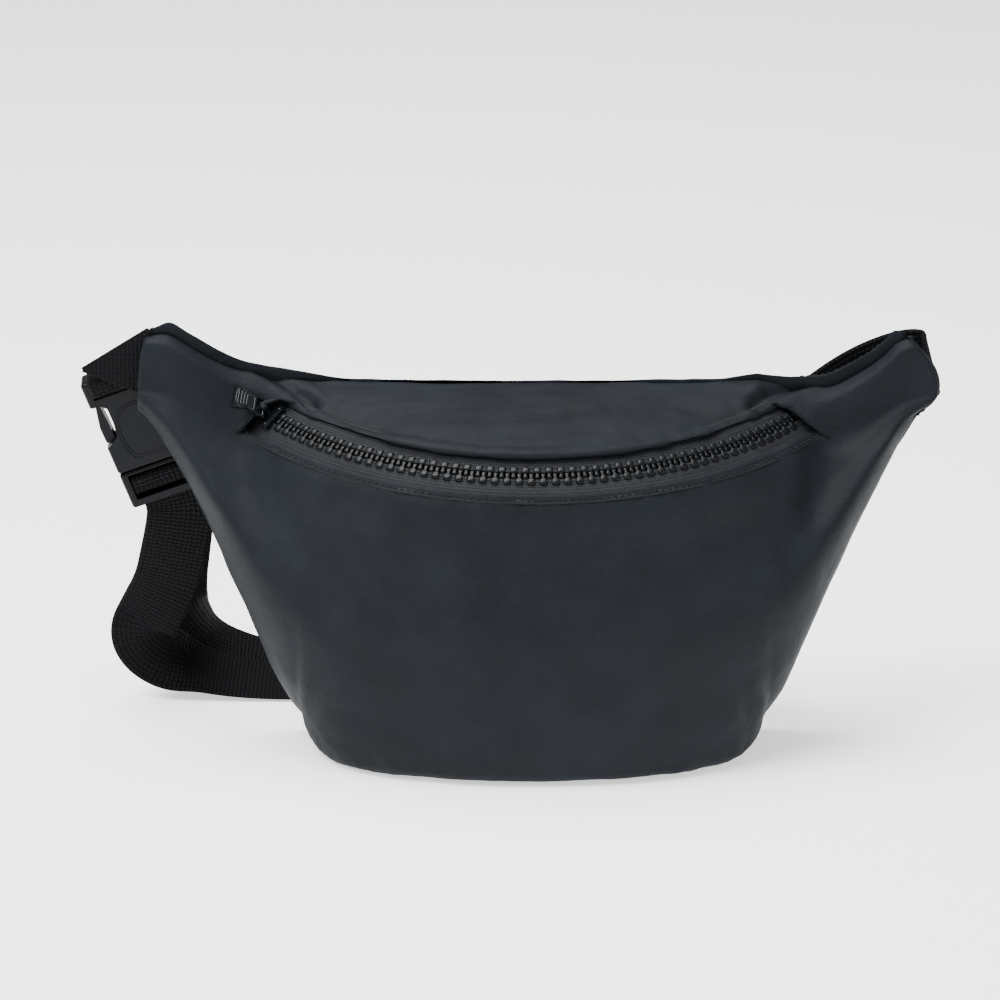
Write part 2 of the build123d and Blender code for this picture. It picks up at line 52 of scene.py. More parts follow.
# ---- sizes shared with the CAD model, in millimetres ----
BACK_Y = 40.0
HALF_LENGTH = 177.0
BASE_HALF_WIDTH = 105.0
BASE_DEPTH = 70.0
BASE_ROUNDING = 2.4
BELLY_DEPTH = 82.0
WING_TIP_DEPTH = 8.0
CREST_RISE = 4.0
WING_SHARE = {-1: 0.25, 1: 0.12}
SIDE_LINE = [(0, 0.3), (94, 0.3), (107, 9), (115, 23), (131.5, 65), (152, 114), (167, 140), (177, 156)]
BACK_LINE = [(0, 167), (85, 168), (116, 173), (131, 176), (144, 183), (164, 195), (177, 190)]
CREST_LINE = [(0, 167), (85, 167.5), (116, 168.3), (134, 172.5), (150, 181), (164, 191), (177, 188)]
ZIP_RADIUS = 150.0
ZIP_MIDDLE = (-27.0, 142.0)
ZIP_PLANE_TILT = 10.8
TAPE_TILT = 31.2
TAPE_HALF = 14.0
TAPE_END = 55.0
FLAP_BACK_X = 121.0
TOOTH_PITCH = 5.2
SLIDER_ANGLE = -51.8
PIN_HEIGHT = 6.2
PULL_YAW = 52.0
PULL_PITCH = 60.0
PULL_ROLL = -21.0
WEB_WIDTH = 30.0
WEB_THICKNESS = 1.3
MM = 0.001                  # metres in a millimetre
PER_METRE = 1000            # millimetres in a metre

# ---- zipper frame ----
TILT = radians(ZIP_PLANE_TILT)
ZIP_CY = ZIP_MIDDLE[0] + ZIP_RADIUS * cos(TILT)
ZIP_CZ = ZIP_MIDDLE[1] + ZIP_RADIUS * sin(TILT)
ACROSS_R = -cos(radians(TAPE_TILT))
ACROSS_H = sin(radians(TAPE_TILT))


def shares(count):
    """Even steps from 0 to 1."""
    return np.linspace(0, 1, count)


def arrays(*values):
    return np.broadcast_arrays(*(np.asarray(v, float) for v in values))


def zip_world(angle, across=0.0, up=0.0):
    """Points (mm) beside the chain's midline: angle in degrees, positive to +X."""
    angle, across, up = arrays(angle, across, up)
    radius = ZIP_RADIUS + across * ACROSS_R + up * ACROSS_H
    height = across * ACROSS_H - up * ACROSS_R
    turn = np.radians(angle)
    reach = radius * np.cos(turn)
    x = radius * np.sin(turn)
    y = ZIP_CY - reach * cos(TILT) - height * sin(TILT)
    z = ZIP_CZ - reach * sin(TILT) + height * cos(TILT)
    return np.stack([x, y, z], -1)


# ---- slider and pull frames ----
SLIDER_MIDDLE = zip_world(SLIDER_ANGLE)
SLIDER_OUT = zip_world(SLIDER_ANGLE, 0, 1) - SLIDER_MIDDLE
SLIDER_SIDE = zip_world(SLIDER_ANGLE, 1, 0) - SLIDER_MIDDLE
SLIDER_ALONG = np.cross(SLIDER_SIDE, SLIDER_OUT)
PULL_TURN = np.array(
    Matrix.Rotation(radians(180 + PULL_YAW), 3, "Z") @ Matrix.Rotation(radians(-PULL_PITCH), 3, "Y")
    @ Matrix.Rotation(radians(PULL_ROLL), 3, "X"))


def slider_world(points):
    return SLIDER_MIDDLE + points @ np.stack([SLIDER_ALONG, SLIDER_SIDE, SLIDER_OUT])


def pull_world(points):
    """World place (mm) of points given along, beside and above the pull tab."""
    return slider_world(np.asarray(points, float) @ PULL_TURN.T + np.array([0, 0, PIN_HEIGHT]))


# ---- outer form of the pouch ----
def softened(values, spread):
    """Values at each millimetre from the middle outwards, softened over a few millimetres."""
    kernel = np.exp(-0.5 * (np.arange(-KERNEL_REACH, KERNEL_REACH + 1) / spread) ** 2)
    mirrored = np.pad([*values[:0:-1], *values], KERNEL_REACH, mode="edge")
    return np.convolve(mirrored, kernel / kernel.sum(), mode="valid")[len(values) - 1:]


def smoothed(points, spread):
    """A softened line through some points, as a table of its height at each millimetre."""
    return softened(np.interp(EACH_MM, *zip(*points)), spread)


KERNEL_REACH = 30
EACH_MM = np.arange(0, 201.0)
SIDE_TABLE = smoothed(SIDE_LINE, 4.0)
TOP_TABLE = smoothed(CREST_LINE, 4.5)
BACK_TABLE = smoothed(BACK_LINE, 4.0)


def table(values, x):
    return np.interp(np.abs(x), np.arange(len(values)), values)


def clip01(values):
    return np.clip(values, 0, 1)


def bell(distance, width):
    return np.exp(-(distance / width) ** 2)


def belly_depth(x):
    share = np.clip(1 - (np.abs(x) / 180) ** 2.4, 0, 1) ** 1.3
    return (BELLY_DEPTH - WING_TIP_DEPTH) * share


def raw_crest(x, side):
    """y and z of a tape's edge at x; past the zipper's end it follows the wing."""
    radius = ZIP_RADIUS + side * TAPE_HALF * ACROSS_R
    height = side * TAPE_HALF * ACROSS_H
    limit_y = BACK_Y - WING_TIP_DEPTH
    cos_limit = (ZIP_CY - height * sin(TILT) - limit_y) / (radius * cos(TILT))
    end_x = radius * sqrt(1 - cos_limit ** 2)
    inner = np.minimum(np.abs(x), end_x)
    reach = np.sqrt(radius ** 2 - inner ** 2)
    y = ZIP_CY - reach * cos(TILT) - height * sin(TILT)
    z = ZIP_CZ - reach * sin(TILT) + height * cos(TILT)
    wing_y = limit_y - WING_SHARE[side] * belly_depth(x)
    rise = table(TOP_TABLE, x) - table(TOP_TABLE, inner)
    rise = rise + CREST_RISE * (np.abs(x) - inner) / (HALF_LENGTH - end_x)
    return np.minimum(y, wing_y), z + rise


CRESTS = {
    side: [softened(v, 5.0) for v in raw_crest(np.minimum(EACH_MM, HALF_LENGTH), side)]
    for side in (-1, 1)
}


def crest(x, side):
    """y and z of a tape's edge at x, softened: side -1 is the lower tape and 1 the upper."""
    return [table(values, x) for values in CRESTS[side]]


def key_points(x, inset=0.0):
    """Key points (y, z) of the pouch's outline at each x, from the base's edge to the back."""
    back = BACK_Y - inset
    low = table(SIDE_TABLE, x) + inset
    top = table(TOP_TABLE, x) - inset
    spread = np.clip(1 - (np.abs(x) / BASE_HALF_WIDTH) ** BASE_ROUNDING, 0, 1)
    base = back - np.maximum(3.0, BASE_DEPTH * spread ** (1 / BASE_ROUNDING) - inset)
    belly = BACK_Y - WING_TIP_DEPTH - belly_depth(x) + inset
    lower_y, lower_z = crest(x, -1)
    upper_y, upper_z = crest(x, 1)
    lower_y, upper_y = lower_y + inset, upper_y + inset
    lower_z, upper_z = lower_z - 0.3 * inset, upper_z - inset
    height = lower_z - low
    hip = base + 0.72 * (np.minimum(belly, base) - base)
    front = np.minimum(np.minimum(belly, lower_y), base - 0.5)
    inner_base = base + 0.04 * (back - base)
    keys = [
        (inner_base, low),
        (base + 0.25 * (hip - base) - 2.0, low + 0.035 * height),
        (hip, low + 0.2 * height),
        (front, low + 0.52 * height),
        (0.35 * front + 0.65 * lower_y - 0.8, low + 0.8 * height),
        (lower_y, lower_z),
        (upper_y, upper_z),
        (0.5 * upper_y + 0.5 * back, 0.5 * upper_z + 0.5 * top + 1.5),
        (back, top),
    ]
    return np.stack([np.stack(np.broadcast_arrays(y, z), -1) for y, z in keys], -2)


LOWER_KEY, UPPER_KEY, LAST_KEY = 5, 6, 8


def outline_point(x, v, inset=0.0):
    """Outer surface (mm) at x and at key index v (0 base edge, 5 lower tape edge, 8 back)."""
    x, v = arrays(x, v)
    keys = key_points(x, inset)
    k = np.clip(np.floor(v).astype(int), 0, LAST_KEY - 1)
    t = (v - k)[..., None]

    def take(i):
        i = np.clip(i, 0, LAST_KEY)
        return np.take_along_axis(keys, i[..., None, None], -2)[..., 0, :]

    p0, p1, p2, p3 = take(k - 1), take(k), take(k + 1), take(k + 2)
    m1 = 0.5 * (p2 - p0)
    m2 = 0.5 * (p3 - p1)
    span = norm(p2 - p1, axis=-1, keepdims=True) + 1e-6
    for m in (m1, m2):
        size = norm(m, axis=-1, keepdims=True) + 1e-6
        m *= np.minimum(1, 1.15 * span / size)
    point = (
        (2 * t ** 3 - 3 * t ** 2 + 1) * p1
        + (t ** 3 - 2 * t ** 2 + t) * m1
        + (3 * t ** 2 - 2 * t ** 3) * p2
        + (t ** 3 - t ** 2) * m2
    )
    return np.concatenate([x[..., None], point], -1)


def base_point(x, t):
    """Underside (mm): t 0 at the back, 1 at the base's edge."""
    keys = key_points(x)
    y = BACK_Y + (keys[..., 0, 0] - BACK_Y) * t
    return np.stack([x, y, keys[..., 0, 1]], -1)


# ---- mesh helpers ----
def unit(vectors):
    return vectors / norm(vectors, axis=-1, keepdims=True)


def columns_at(at, known, values):
    """Each column of values, given at known places along a line, read off at other places."""
    return np.stack([np.interp(at, known, values[:, i]) for i in range(3)], -1)


def averaged(values, kernel):
    """Each column of values, blurred with a kernel."""
    reach = len(kernel) // 2
    padded = np.pad(values, ((reach, reach), (0, 0)), mode="edge")
    return np.stack([np.convolve(padded[:, i], kernel, mode="valid") for i in range(3)], -1)


def distances(points):
    """How far along a line each of its points is."""
    steps = norm(np.diff(points, axis=0), axis=1)
    return np.array([0, *np.cumsum(steps)])


@contextmanager
def edited(mesh):
    bm = bmesh.new()
    bm.from_mesh(mesh)
    yield bm
    bm.to_mesh(mesh)
    bm.free()


def add_mesh(name, patches, material, merge=0.05):
    """One mesh from several grids of points in mm, each alone or with its UV in metres."""
    verts, faces, uvs = [], [], []
    for patch in patches:
        grid, uv = patch if isinstance(patch, tuple) else (patch, None)
        rows, cols = grid.shape[:2]
        first = sum(len(v) for v in verts)
        verts.append(grid.reshape(-1, 3) * MM)
        index = first + np.arange(rows * cols).reshape(rows, cols)
        quads = np.stack([index[:-1, :-1], index[:-1, 1:], index[1:, 1:], index[1:, :-1]], -1)
        faces.append(quads.reshape(-1, 4))
        if uv is None:
            uv = np.zeros((rows, cols, 2))
        corner = np.stack([uv[:-1, :-1], uv[:-1, 1:], uv[1:, 1:], uv[1:, :-1]], -2)
        uvs.append(corner.reshape(-1, 2))
    verts, faces = np.concatenate(verts), np.concatenate(faces)
    mesh = bpy.data.meshes.new(name)
    mesh.from_pydata(verts.tolist(), [], faces.tolist())
    layer = mesh.uv_layers.new(name="UVMap")
    layer.data.foreach_set("uv", np.concatenate(uvs).astype(np.float32).ravel())
    obj = bpy.data.objects.new(name, mesh)
    scene.collection.objects.link(obj)
    if merge:
        with edited(mesh) as bm:
            bmesh.ops.remove_doubles(bm, verts=bm.verts, dist=merge * MM)
    mesh.polygons.foreach_set("use_smooth", [True] * len(mesh.polygons))
    mesh.materials.append(material)
    mesh.update()
    return obj


def closed(grid, line):
    """A grid of rings along a line, drawn in to the line's two end points."""
    ends = np.repeat(line[[0, -1], None], grid.shape[1], 1)
    return np.concatenate([ends[:1], grid, ends[1:]])


def tube(points, radius, sides=8):
    """Grid of a round tube with closed ends along points (mm)."""
    pts = np.asarray(points, float)
    ahead = unit(np.gradient(pts, axis=0))
    side = unit(np.cross(ahead, [0.1, 0.3, 1.0]))
    other = np.cross(ahead, side)
    turn = np.linspace(0, 2 * pi, sides + 1)[None, :, None]
    ring = np.cos(turn) * side[:, None] + np.sin(turn) * other[:, None]
    radii = np.broadcast_to(np.asarray(radius, float), (len(pts),))
    return closed(pts[:, None] + ring * radii[:, None, None], pts)


def resample(points, step):
    """Points (mm) evenly spaced along a line."""
    pts = np.asarray(points, float)
    s = distances(pts)
    return columns_at(np.linspace(0, s[-1], max(2, int(round(s[-1] / step)) + 1)), s, pts)


THREAD_STEP = 0.35


def stitches(points, pitch, share, radius, lift, normals):
    """Grids of short thread tubes along a line on a surface (mm)."""
    line = resample(points, THREAD_STEP)
    normals = columns_at(shares(len(line)), shares(len(normals)), normals)
    per = int(round(pitch / THREAD_STEP))
    keep = max(3, int(round(per * share)))
    t = shares(keep + 1)
    arch = 4 * t * (1 - t)
    height = lift * arch - 0.5 * radius * (2 * t - 1) ** 4
    swell = radius * (0.55 + 0.45 * np.sqrt(clip01(arch)))
    grids = []
    for start in range(0, len(line) - keep, per):
        stitch = slice(start, start + keep + 1)
        grids.append(tube(line[stitch] + normals[stitch] * height[:, None], swell, 6))
    return grids


def riding(obj, body, slot, *replaced):
    """A piece that moves with one body, in place of CAD nodes."""
    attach(obj, body)
    if replaced:
        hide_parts(*replaced)


# ---- materials ----
def material(name, base, rough, sheen=0.0, coat=0.0, specular=0.09):
    mat = bpy.data.materials.new(name)
    mat.use_nodes = True
    tree = mat.node_tree
    tree.nodes.clear()
    out = tree.nodes.new("ShaderNodeOutputMaterial")
    bsdf = node(tree, "ShaderNodeBsdfPrincipled", **{
        "Base Color": (*base, 1), "Roughness": rough, "Specular IOR Level": specular,
        "Sheen Weight": sheen, "Sheen Roughness": 0.45, "Coat Weight": coat})
    tree.links.new(bsdf.outputs[0], out.inputs[0])
    return mat, tree, bsdf


def node(tree, kind, **values):
    n = tree.nodes.new(kind)
    for key, value in values.items():
        if key in n.inputs:
            n.inputs[key].default_value = value
        else:
            setattr(n, key, value)
    return n


def feed(tree, socket, value):
    """Links a socket to an input, or sets it to a number or a colour."""
    if isinstance(value, bpy.types.NodeSocket):
        tree.links.new(value, socket)
    else:
        socket.default_value = (*value, 1) if isinstance(value, tuple) else value


def noise_node(tree, source, scale, detail=3.0, rough=0.55):
    n = node(tree, "ShaderNodeTexNoise", Scale=scale, Detail=detail, Roughness=rough)
    tree.links.new(source, n.inputs["Vector"])
    return n.outputs[0]


def ramp(tree, source, stops):
    n = node(tree, "ShaderNodeValToRGB")
    for element, (place, colour) in zip(n.color_ramp.elements, stops):
        element.position = place
        element.color = (*colour, 1)
    tree.links.new(source, n.inputs[0])
    return n.outputs[0]


def mix(tree, a, b, factor, blend="MIX"):
    n = node(tree, "ShaderNodeMix", data_type="RGBA", blend_type=blend)
    for index, value in ((0, factor), (6, a), (7, b)):
        feed(tree, n.inputs[index], value)
    return n.outputs[2]


def maths(tree, operation, *values):
    n = node(tree, "ShaderNodeMath", operation=operation)
    for socket, value in zip(n.inputs, values):
        feed(tree, socket, value)
    return n.outputs[0]


def bump(tree, bsdf, height, distance, strength=1.0, under=None):
    n = node(tree, "ShaderNodeBump", Distance=distance, Strength=strength)
    tree.links.new(height, n.inputs["Height"])
    if under is not None:
        tree.links.new(under, n.inputs["Normal"])
    tree.links.new(n.outputs[0], bsdf.inputs["Normal"])
    return n.outputs[0]


def grey(value):
    return (value, value, value)


def nylon(name, dark, light, rough, sheen=0.0, grain=0.00009):
    """Peached nylon: soft blotches of tone, fine yarn grain, tiny specks and faint creases."""
    mat, tree, bsdf = material(name, light, rough, sheen)
    at = node(tree, "ShaderNodeTexCoord").outputs["Object"]
    broad = noise_node(tree, at, 9.0)
    patch = noise_node(tree, at, 38.0, 5.0, 0.6)
    fine = noise_node(tree, at, 1400.0, 3.0, 0.7)
    blotches = maths(tree, "MULTIPLY_ADD", patch, 0.6, maths(tree, "MULTIPLY", broad, 0.5))
    tone = ramp(tree, blotches, [(0.36, dark), (0.72, light)])
    shade = ramp(tree, fine, [(0.3, grey(0.72)), (0.75, grey(1.25))])
    grained = mix(tree, tone, shade, 0.8, "MULTIPLY")
    specks = ramp(tree, noise_node(tree, at, 2600.0, 1.0), [(0.74, grey(0)), (0.80, grey(1))])
    bright = tuple(min(1, 3.2 * c) for c in light)
    colour = mix(tree, grained, bright, maths(tree, "MULTIPLY", specks, 0.35))
    tree.links.new(colour, bsdf.inputs["Base Color"])
    gloss = maths(tree, "MULTIPLY_ADD", patch, 0.22, rough - 0.11)
    tree.links.new(gloss, bsdf.inputs["Roughness"])
    waves = []
    for axis in "XZ":
        wave = node(tree, "ShaderNodeTexWave", wave_type="BANDS", bands_direction=axis,
                    Scale=620.0, Distortion=1.2, Detail=1.0)
        tree.links.new(at, wave.inputs["Vector"])
        waves.append(wave.outputs[1])
    height = maths(tree, "MULTIPLY_ADD", maths(tree, "ADD", *waves), 0.25, fine)
    creases = bump(tree, bsdf, noise_node(tree, at, 150.0, 4.0, 0.6), 0.0009, 0.35)
    bump(tree, bsdf, height, grain, 1.0, creases)
    return mat


def woven(name, dark, light, rib, column_width, depth, rough=0.5, sheen=0.0, stagger_by=0.5):
    """Webbing or tape from UV in metres: rows of yarn across the strip, staggered by column, with
    painted shade in the grooves between them.
    """
    mat, tree, bsdf = material(name, light, rough, sheen)
    split = node(tree, "ShaderNodeSeparateXYZ")
    tree.links.new(node(tree, "ShaderNodeTexCoord").outputs["UV"], split.inputs[0])
    along, across = split.outputs[0], split.outputs[1]
    column = maths(tree, "MULTIPLY", across, 1 / column_width)
    odd = maths(tree, "MODULO", maths(tree, "FLOOR", column), 2.0)
    stagger = maths(tree, "MULTIPLY", odd, stagger_by)
    row = maths(tree, "ADD", maths(tree, "MULTIPLY", along, 1 / rib), stagger)
    waves = []
    for place, power in ((row, 0.6), (column, 0.45)):
        wave = maths(tree, "SINE", maths(tree, "MULTIPLY", place, pi))
        waves.append(maths(tree, "POWER", maths(tree, "ABSOLUTE", wave), power))
    yarn = maths(tree, "MULTIPLY", *waves)
    at = node(tree, "ShaderNodeTexCoord").outputs["Object"]
    height = maths(tree, "MULTIPLY_ADD", noise_node(tree, at, 2200.0, 3.0, 0.7), 0.25, yarn)
    # painted shade: the colour follows the yarn relief, dark in the grooves between the yarns and
    # light on the crests
    tone = ramp(tree, yarn, [(0.1, dark), (0.9, light)])
    shade = ramp(tree, noise_node(tree, at, 60.0), [(0.3, grey(0.75)), (0.7, grey(1.2))])
    tree.links.new(mix(tree, tone, shade, 0.7, "MULTIPLY"), bsdf.inputs["Base Color"])
    bump(tree, bsdf, height, depth)
    return mat


def moulded(name, dark, light, rough, coat, specular):
    """Moulded plastic: fine spark texture, faint flow marks, and a painted highlight on the convex
    edges.
    """
    mat, tree, bsdf = material(name, light, rough, 0.0, coat, specular)
    at = node(tree, "ShaderNodeTexCoord").outputs["Object"]
    flow = noise_node(tree, at, 90.0)
    tone = ramp(tree, flow, [(0.3, dark), (0.7, light)])
    # painted highlight: convex edges (high pointiness) are mixed halfway towards a brighter colour
    edges = node(tree, "ShaderNodeNewGeometry").outputs["Pointiness"]
    painted_edge_highlight = ramp(tree, edges, [(0.52, grey(0)), (0.60, grey(1))])
    edge_highlight_colour = tuple(min(1, 2.4 * c) for c in light)
    colour = mix(tree, tone, edge_highlight_colour, maths(tree, "MULTIPLY", painted_edge_highlight, 0.5))
    tree.links.new(colour, bsdf.inputs["Base Color"])
    gloss = maths(tree, "MULTIPLY_ADD", flow, 0.16, rough - 0.08)
    tree.links.new(gloss, bsdf.inputs["Roughness"])
    bump(tree, bsdf, noise_node(tree, at, 1800.0, 2.0, 0.6), 0.00005)
    return mat


SHELL = nylon("shell_nylon", (0.0040, 0.0052, 0.0071), (0.0084, 0.0108, 0.0142), 0.62)
LINING = nylon("lining_nylon", (0.006, 0.0065, 0.0075), (0.012, 0.013, 0.015), 0.45, 0.02, 0.00005)
# in webbing, zipper_tape and thread the first colour is painted shade for the grooves between the
# yarns
WEBBING = woven("webbing", (0.0001, 0.0002, 0.0004), (0.0010, 0.0014, 0.0023),
                0.0019, 0.0022, 0.0005, 0.66, stagger_by=0.12)
TAPE = woven("zipper_tape", (0.004, 0.0045, 0.005), (0.016, 0.017, 0.019), 0.0011, 0.0014, 0.0002)
# moulded plastics: their convex edges get a painted highlight, brighter than the second colour
TEETH = moulded("zipper_teeth", (0.0008, 0.0011, 0.0016), (0.0019, 0.0025, 0.0033), 0.34, 0.0, 0.16)
SLIDER = moulded("zipper_slider", (0.0012, 0.0015, 0.0020), (0.0026, 0.0032, 0.0040), 0.2, 0.12, 0.3)
BUCKLE = moulded("buckle_plastic", (0.0006, 0.0008, 0.0013), (0.0011, 0.0015, 0.0023), 0.34, 0.0, 0.10)
THREAD = woven("thread", (0.004, 0.005, 0.0065), (0.018, 0.022, 0.027), 0.0008, 0.0006, 0.0001,
               sheen=0.1)

# ---- belt and tail: control points in mm, each with the direction of the webbing's width ----
BELT_ROUTE = [
    ((174.6, 38, 174), (-0.25, 0, 1)),
    ((178.4, 39.2, 174.2), (-0.25, 0, 1)),
    ((178.8, 45.4, 174.2), (-0.3, 0, 1)),
    ((168, 49.5, 173.6), (-0.35, 0.05, 1)),
    ((146, 54, 163), (-0.42, 0, 0.92)),
    ((122, 59, 142), (-0.65, 0, 0.76)),
    ((107, 67, 104), (-0.95, 0, 0.35)),
    ((97, 80, 58), (-1, 0.05, 0.2)),
    ((84, 94, 26), (-0.75, 0.75, 0.3)),
    ((63, 107, 8), (-0.3, 1, 0.2)),
    ((34, 111, 1.8), (0.1, 1, 0.02)),
    ((-10, 108, 1.2), (0.1, 1, 0)),
    ((-60, 112, 1.2), (0, 1, 0)),
    ((-106, 119, 2.4), (-0.05, 1, 0.12)),
    ((-135, 121.5, 6.8), (-0.1, 1, 0.45)),
    ((-152, 116, 14), (0.15, 0.8, 0.65)),
    ((-162, 107, 27), (0.55, 0.5, 0.65)),
    ((-167, 96, 42), (0.9, 0.15, 0.3)),
    ((-166.5, 85, 59), (1, 0, 0.06)),
    ((-164, 75.5, 75), (0.98, 0, 0.15)),
    ((-162, 69.5, 90), (0.95, 0, 0.3)),
    ((-161.7, 67, 100.6), (0.942, 0, 0.336)),
    ((-164.4, 65.8, 108), (0.942, 0, 0.336)),
]
TAIL_ROUTE = [
    ((-164.3, 64.1, 107.8), (0.942, 0, 0.336)),
    ((-161.6, 65.3, 100.4), (0.942, 0, 0.336)),
    ((-162.8, 67, 90), (0.95, 0, 0.3)),
    ((-166, 70, 75), (0.98, 0, 0.15)),
    ((-169.5, 73.5, 60), (1, 0, 0.06)),
    ((-176.5, 76, 46), (0.92, -0.18, 0.4)),
    ((-183, 78.5, 33.5), (0.62, -0.25, 0.75)),
    ((-176.5, 84, 21.5), (0.2, 0.15, 0.95)),
    ((-158, 90, 12), (-0.05, 0.85, 0.5)),
    ((-135, 91, 6), (0, 0.93, 0.3)),
    ((-107, 91, 3.2), (0, 1, 0.15)),
    ((-68, 88.5, 3), (0.05, 1, 0)),
    ((-30, 86, 2.8), (0.05, 1, 0)),
]


def centreline(points):
    """Points (mm) of the smooth NURBS line whose control points these are."""
    curve = bpy.data.curves.new("line", "CURVE")
    curve.dimensions = "3D"
    spline = curve.splines.new("NURBS")
    spline.points.add(len(points) - 1)
    for p, co in zip(spline.points, points):
        p.co = (*co, 1.0)
    spline.order_u = 3
    spline.use_endpoint_u = True
    spline.resolution_u = 24
    obj = bpy.data.objects.new("line", curve)
    scene.collection.objects.link(obj)
    mesh = bpy.data.meshes.new_from_object(obj)
    line = np.array([v.co for v in mesh.vertices])
    bpy.data.objects.remove(obj)
    bpy.data.curves.remove(curve)
    bpy.data.meshes.remove(mesh)
    return line


def ribbon_frame(route):
    """Even points (mm) along a route's line, with the width and face directions there."""
    line = centreline([p for p, _ in route])
    spans = len(route) - 2
    greville = [0, *(np.arange(spans) + 0.5), spans]
    s = distances(line)
    at = np.linspace(0, s[-1], int(s[-1] / RIBBON_STEP) + 1)
    pts = columns_at(at, s, line)
    place = np.interp(at, s, np.linspace(0, spans, len(line)))
    width = columns_at(place, greville, unit(np.array([w for _, w in route], float)))
    kernel = np.exp(-0.5 * (np.arange(-12, 13) / 5.0) ** 2)
    width = averaged(width, kernel / kernel.sum())
    ahead = unit(np.gradient(pts, axis=0))
    width = unit(width - ahead * (width * ahead).sum(1)[:, None])
    return pts, at, width, np.cross(ahead, width)


def ribbon_patch(pts, at, width, face, half=WEB_WIDTH / 2, thick=WEB_THICKNESS):
    """Closed flat strip with soft selvedges: grids and UV in metres."""
    t = np.linspace(-1, 1, 26)
    across = half * np.sin(t * pi / 2) * 0.35 + half * t * 0.65
    edge = clip01((half - np.abs(across)) / 1.1)
    height = 0.5 * thick * np.sqrt(np.clip(1 - (1 - edge) ** 2, 0.02, 1))
    ring_w = np.array([*across, *across[::-1], across[0]])
    ring_h = np.array([*height, *-height[::-1], height[0]])
    grid = pts[:, None] + width[:, None] * ring_w[:, None] + face[:, None] * ring_h[:, None]
    uv = np.stack(np.broadcast_arrays(at[:, None], ring_w + half), -1) * MM
    return closed(grid, pts), np.concatenate([uv[:1], uv, uv[-1:]])


def laid_webbing(name, route, far_end, *replaced):
    """A free run of webbing along a route, in place of CAD nodes."""
    ribbon = ribbon_frame(route)
    pts = ribbon[0]
    strip = add_mesh(name, [ribbon_patch(*ribbon)], WEBBING, merge=0.02)
    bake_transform(strip)
    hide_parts(*replaced)
    length = float(norm(np.diff(pts, axis=0), axis=1).sum()) * MM
    return ribbon


RIBBON_STEP = 0.8
HEM_LENGTH = 16
laid_webbing("belt", BELT_ROUTE, "object", "belt_right", "belt_floor", "belt_hanging")
ribbon = laid_webbing("belt_tail", TAIL_ROUTE, "bare", "tail_hanging", "tail_floor")
pts, at, width, face = (v[-int(HEM_LENGTH / RIBBON_STEP):] for v in ribbon)
pts = pts + face * 1.15
hem = add_mesh("tail_hem", [ribbon_patch(pts, at, width, face, 14.8, 1.1)], WEBBING, merge=0.02)
riding(hem, "root", "webbing")
rows = []
for k in (4, 8):
    line = pts[k] + width[k] * np.linspace(-13, 13, 60)[:, None] + face[k] * 0.6
    rows += stitches(line, 2.6, 0.75, 0.3, 0.1, np.repeat(face[k][None], 60, 0))
riding(add_mesh("tail_hem_thread", rows, THREAD, merge=0), "root", "thread")


# ---- pouch panels ----
WING_COLUMNS = 30           # from the tape's end to the wing tip
SEAM_COLUMNS = 10           # from the top panel's side seam to the tape's end
MIDDLE_COLUMNS = 201
TIP_X = {-1: HALF_LENGTH - 0.6, 1: HALF_LENGTH + 3.6}
LOWER_END_X = float(zip_world(TAPE_END, -TAPE_HALF)[0])
UPPER_END_X = float(zip_world(TAPE_END, TAPE_HALF)[0])
WING_BACK_X = 134.0         # the wings' columns begin here at the back seam
WING_SPREAD = shares(WING_COLUMNS) ** 0.9
FLAP_X = 98.5               # the top panel's side seams meet the zipper here
FOLD = 9.4                  # the folded edges stop this far from the chain's midline
FOLD_ANGLE = {-1: 54.7, 1: 53.2}
FOLD_ROUND = 6.0            # corner radius of the opening
SQUEEZE_X = HALF_LENGTH - 12
SQUEEZE = 11.4 / 15.6


def tip(x):
    """Squeezes the outline beyond SQUEEZE_X, so that the right wing can run past the CAD tip."""
    return np.where(x > SQUEEZE_X, SQUEEZE_X + (x - SQUEEZE_X) * SQUEEZE, x)


def bowed(points):
    """The wings' ends lean in at top and bottom; the right one droops and is rounder."""
    x, z = points[..., 0], points[..., 2]
    share = np.clip((np.abs(x) - 150) / 27, 0, 1.2) ** 2
    high, low, start = (np.where(x > 0, *pair) for pair in ((11.0, 5.0), (6.5, 2.5), (168.0, 160.0)))
    lean = high * np.clip((z - 166) / 24, 0, 1.2) ** 2 + low * clip01((start - z) / 14) ** 2
    droop = np.interp(x, [100, 116, 132, 148, 158, 166, 176], [0, 4.6, 7.2, 7.0, 6.0, 4.0, 2.0])
    points[..., 2] = z - droop * clip01((z - 138) / 26)
    points[..., 0] = x - np.sign(x) * share * lean
    return points


def surface(x, v, inset=0.0):
    """Outer surface (mm) of the front and the wings, with their tips and their droop."""
    point = outline_point(tip(x), v, inset)
    point[..., 0] = np.broadcast_to(x, point.shape[:-1])
    return bowed(point)


def on_back(x, z, out=0.0):
    """Points (mm) on the back's plane, or off it by a little."""
    return np.stack([x, np.full_like(x, BACK_Y + out), z], -1)


def tip_cap(grids, side):
    """Rounds the wing's end over from its front to the back seam."""
    column = np.concatenate(grids)
    middle = on_back(column[:, 0], column[:, 2], -0.6)
    rows = []
    for t in shares(7):
        point = column + (middle - column) * t
        point[:, 0] += side * 1.6 * sin(pi * min(1.0, t * 1.1)) ** 0.8
        rows.append(point)
    return np.stack(rows, 1)


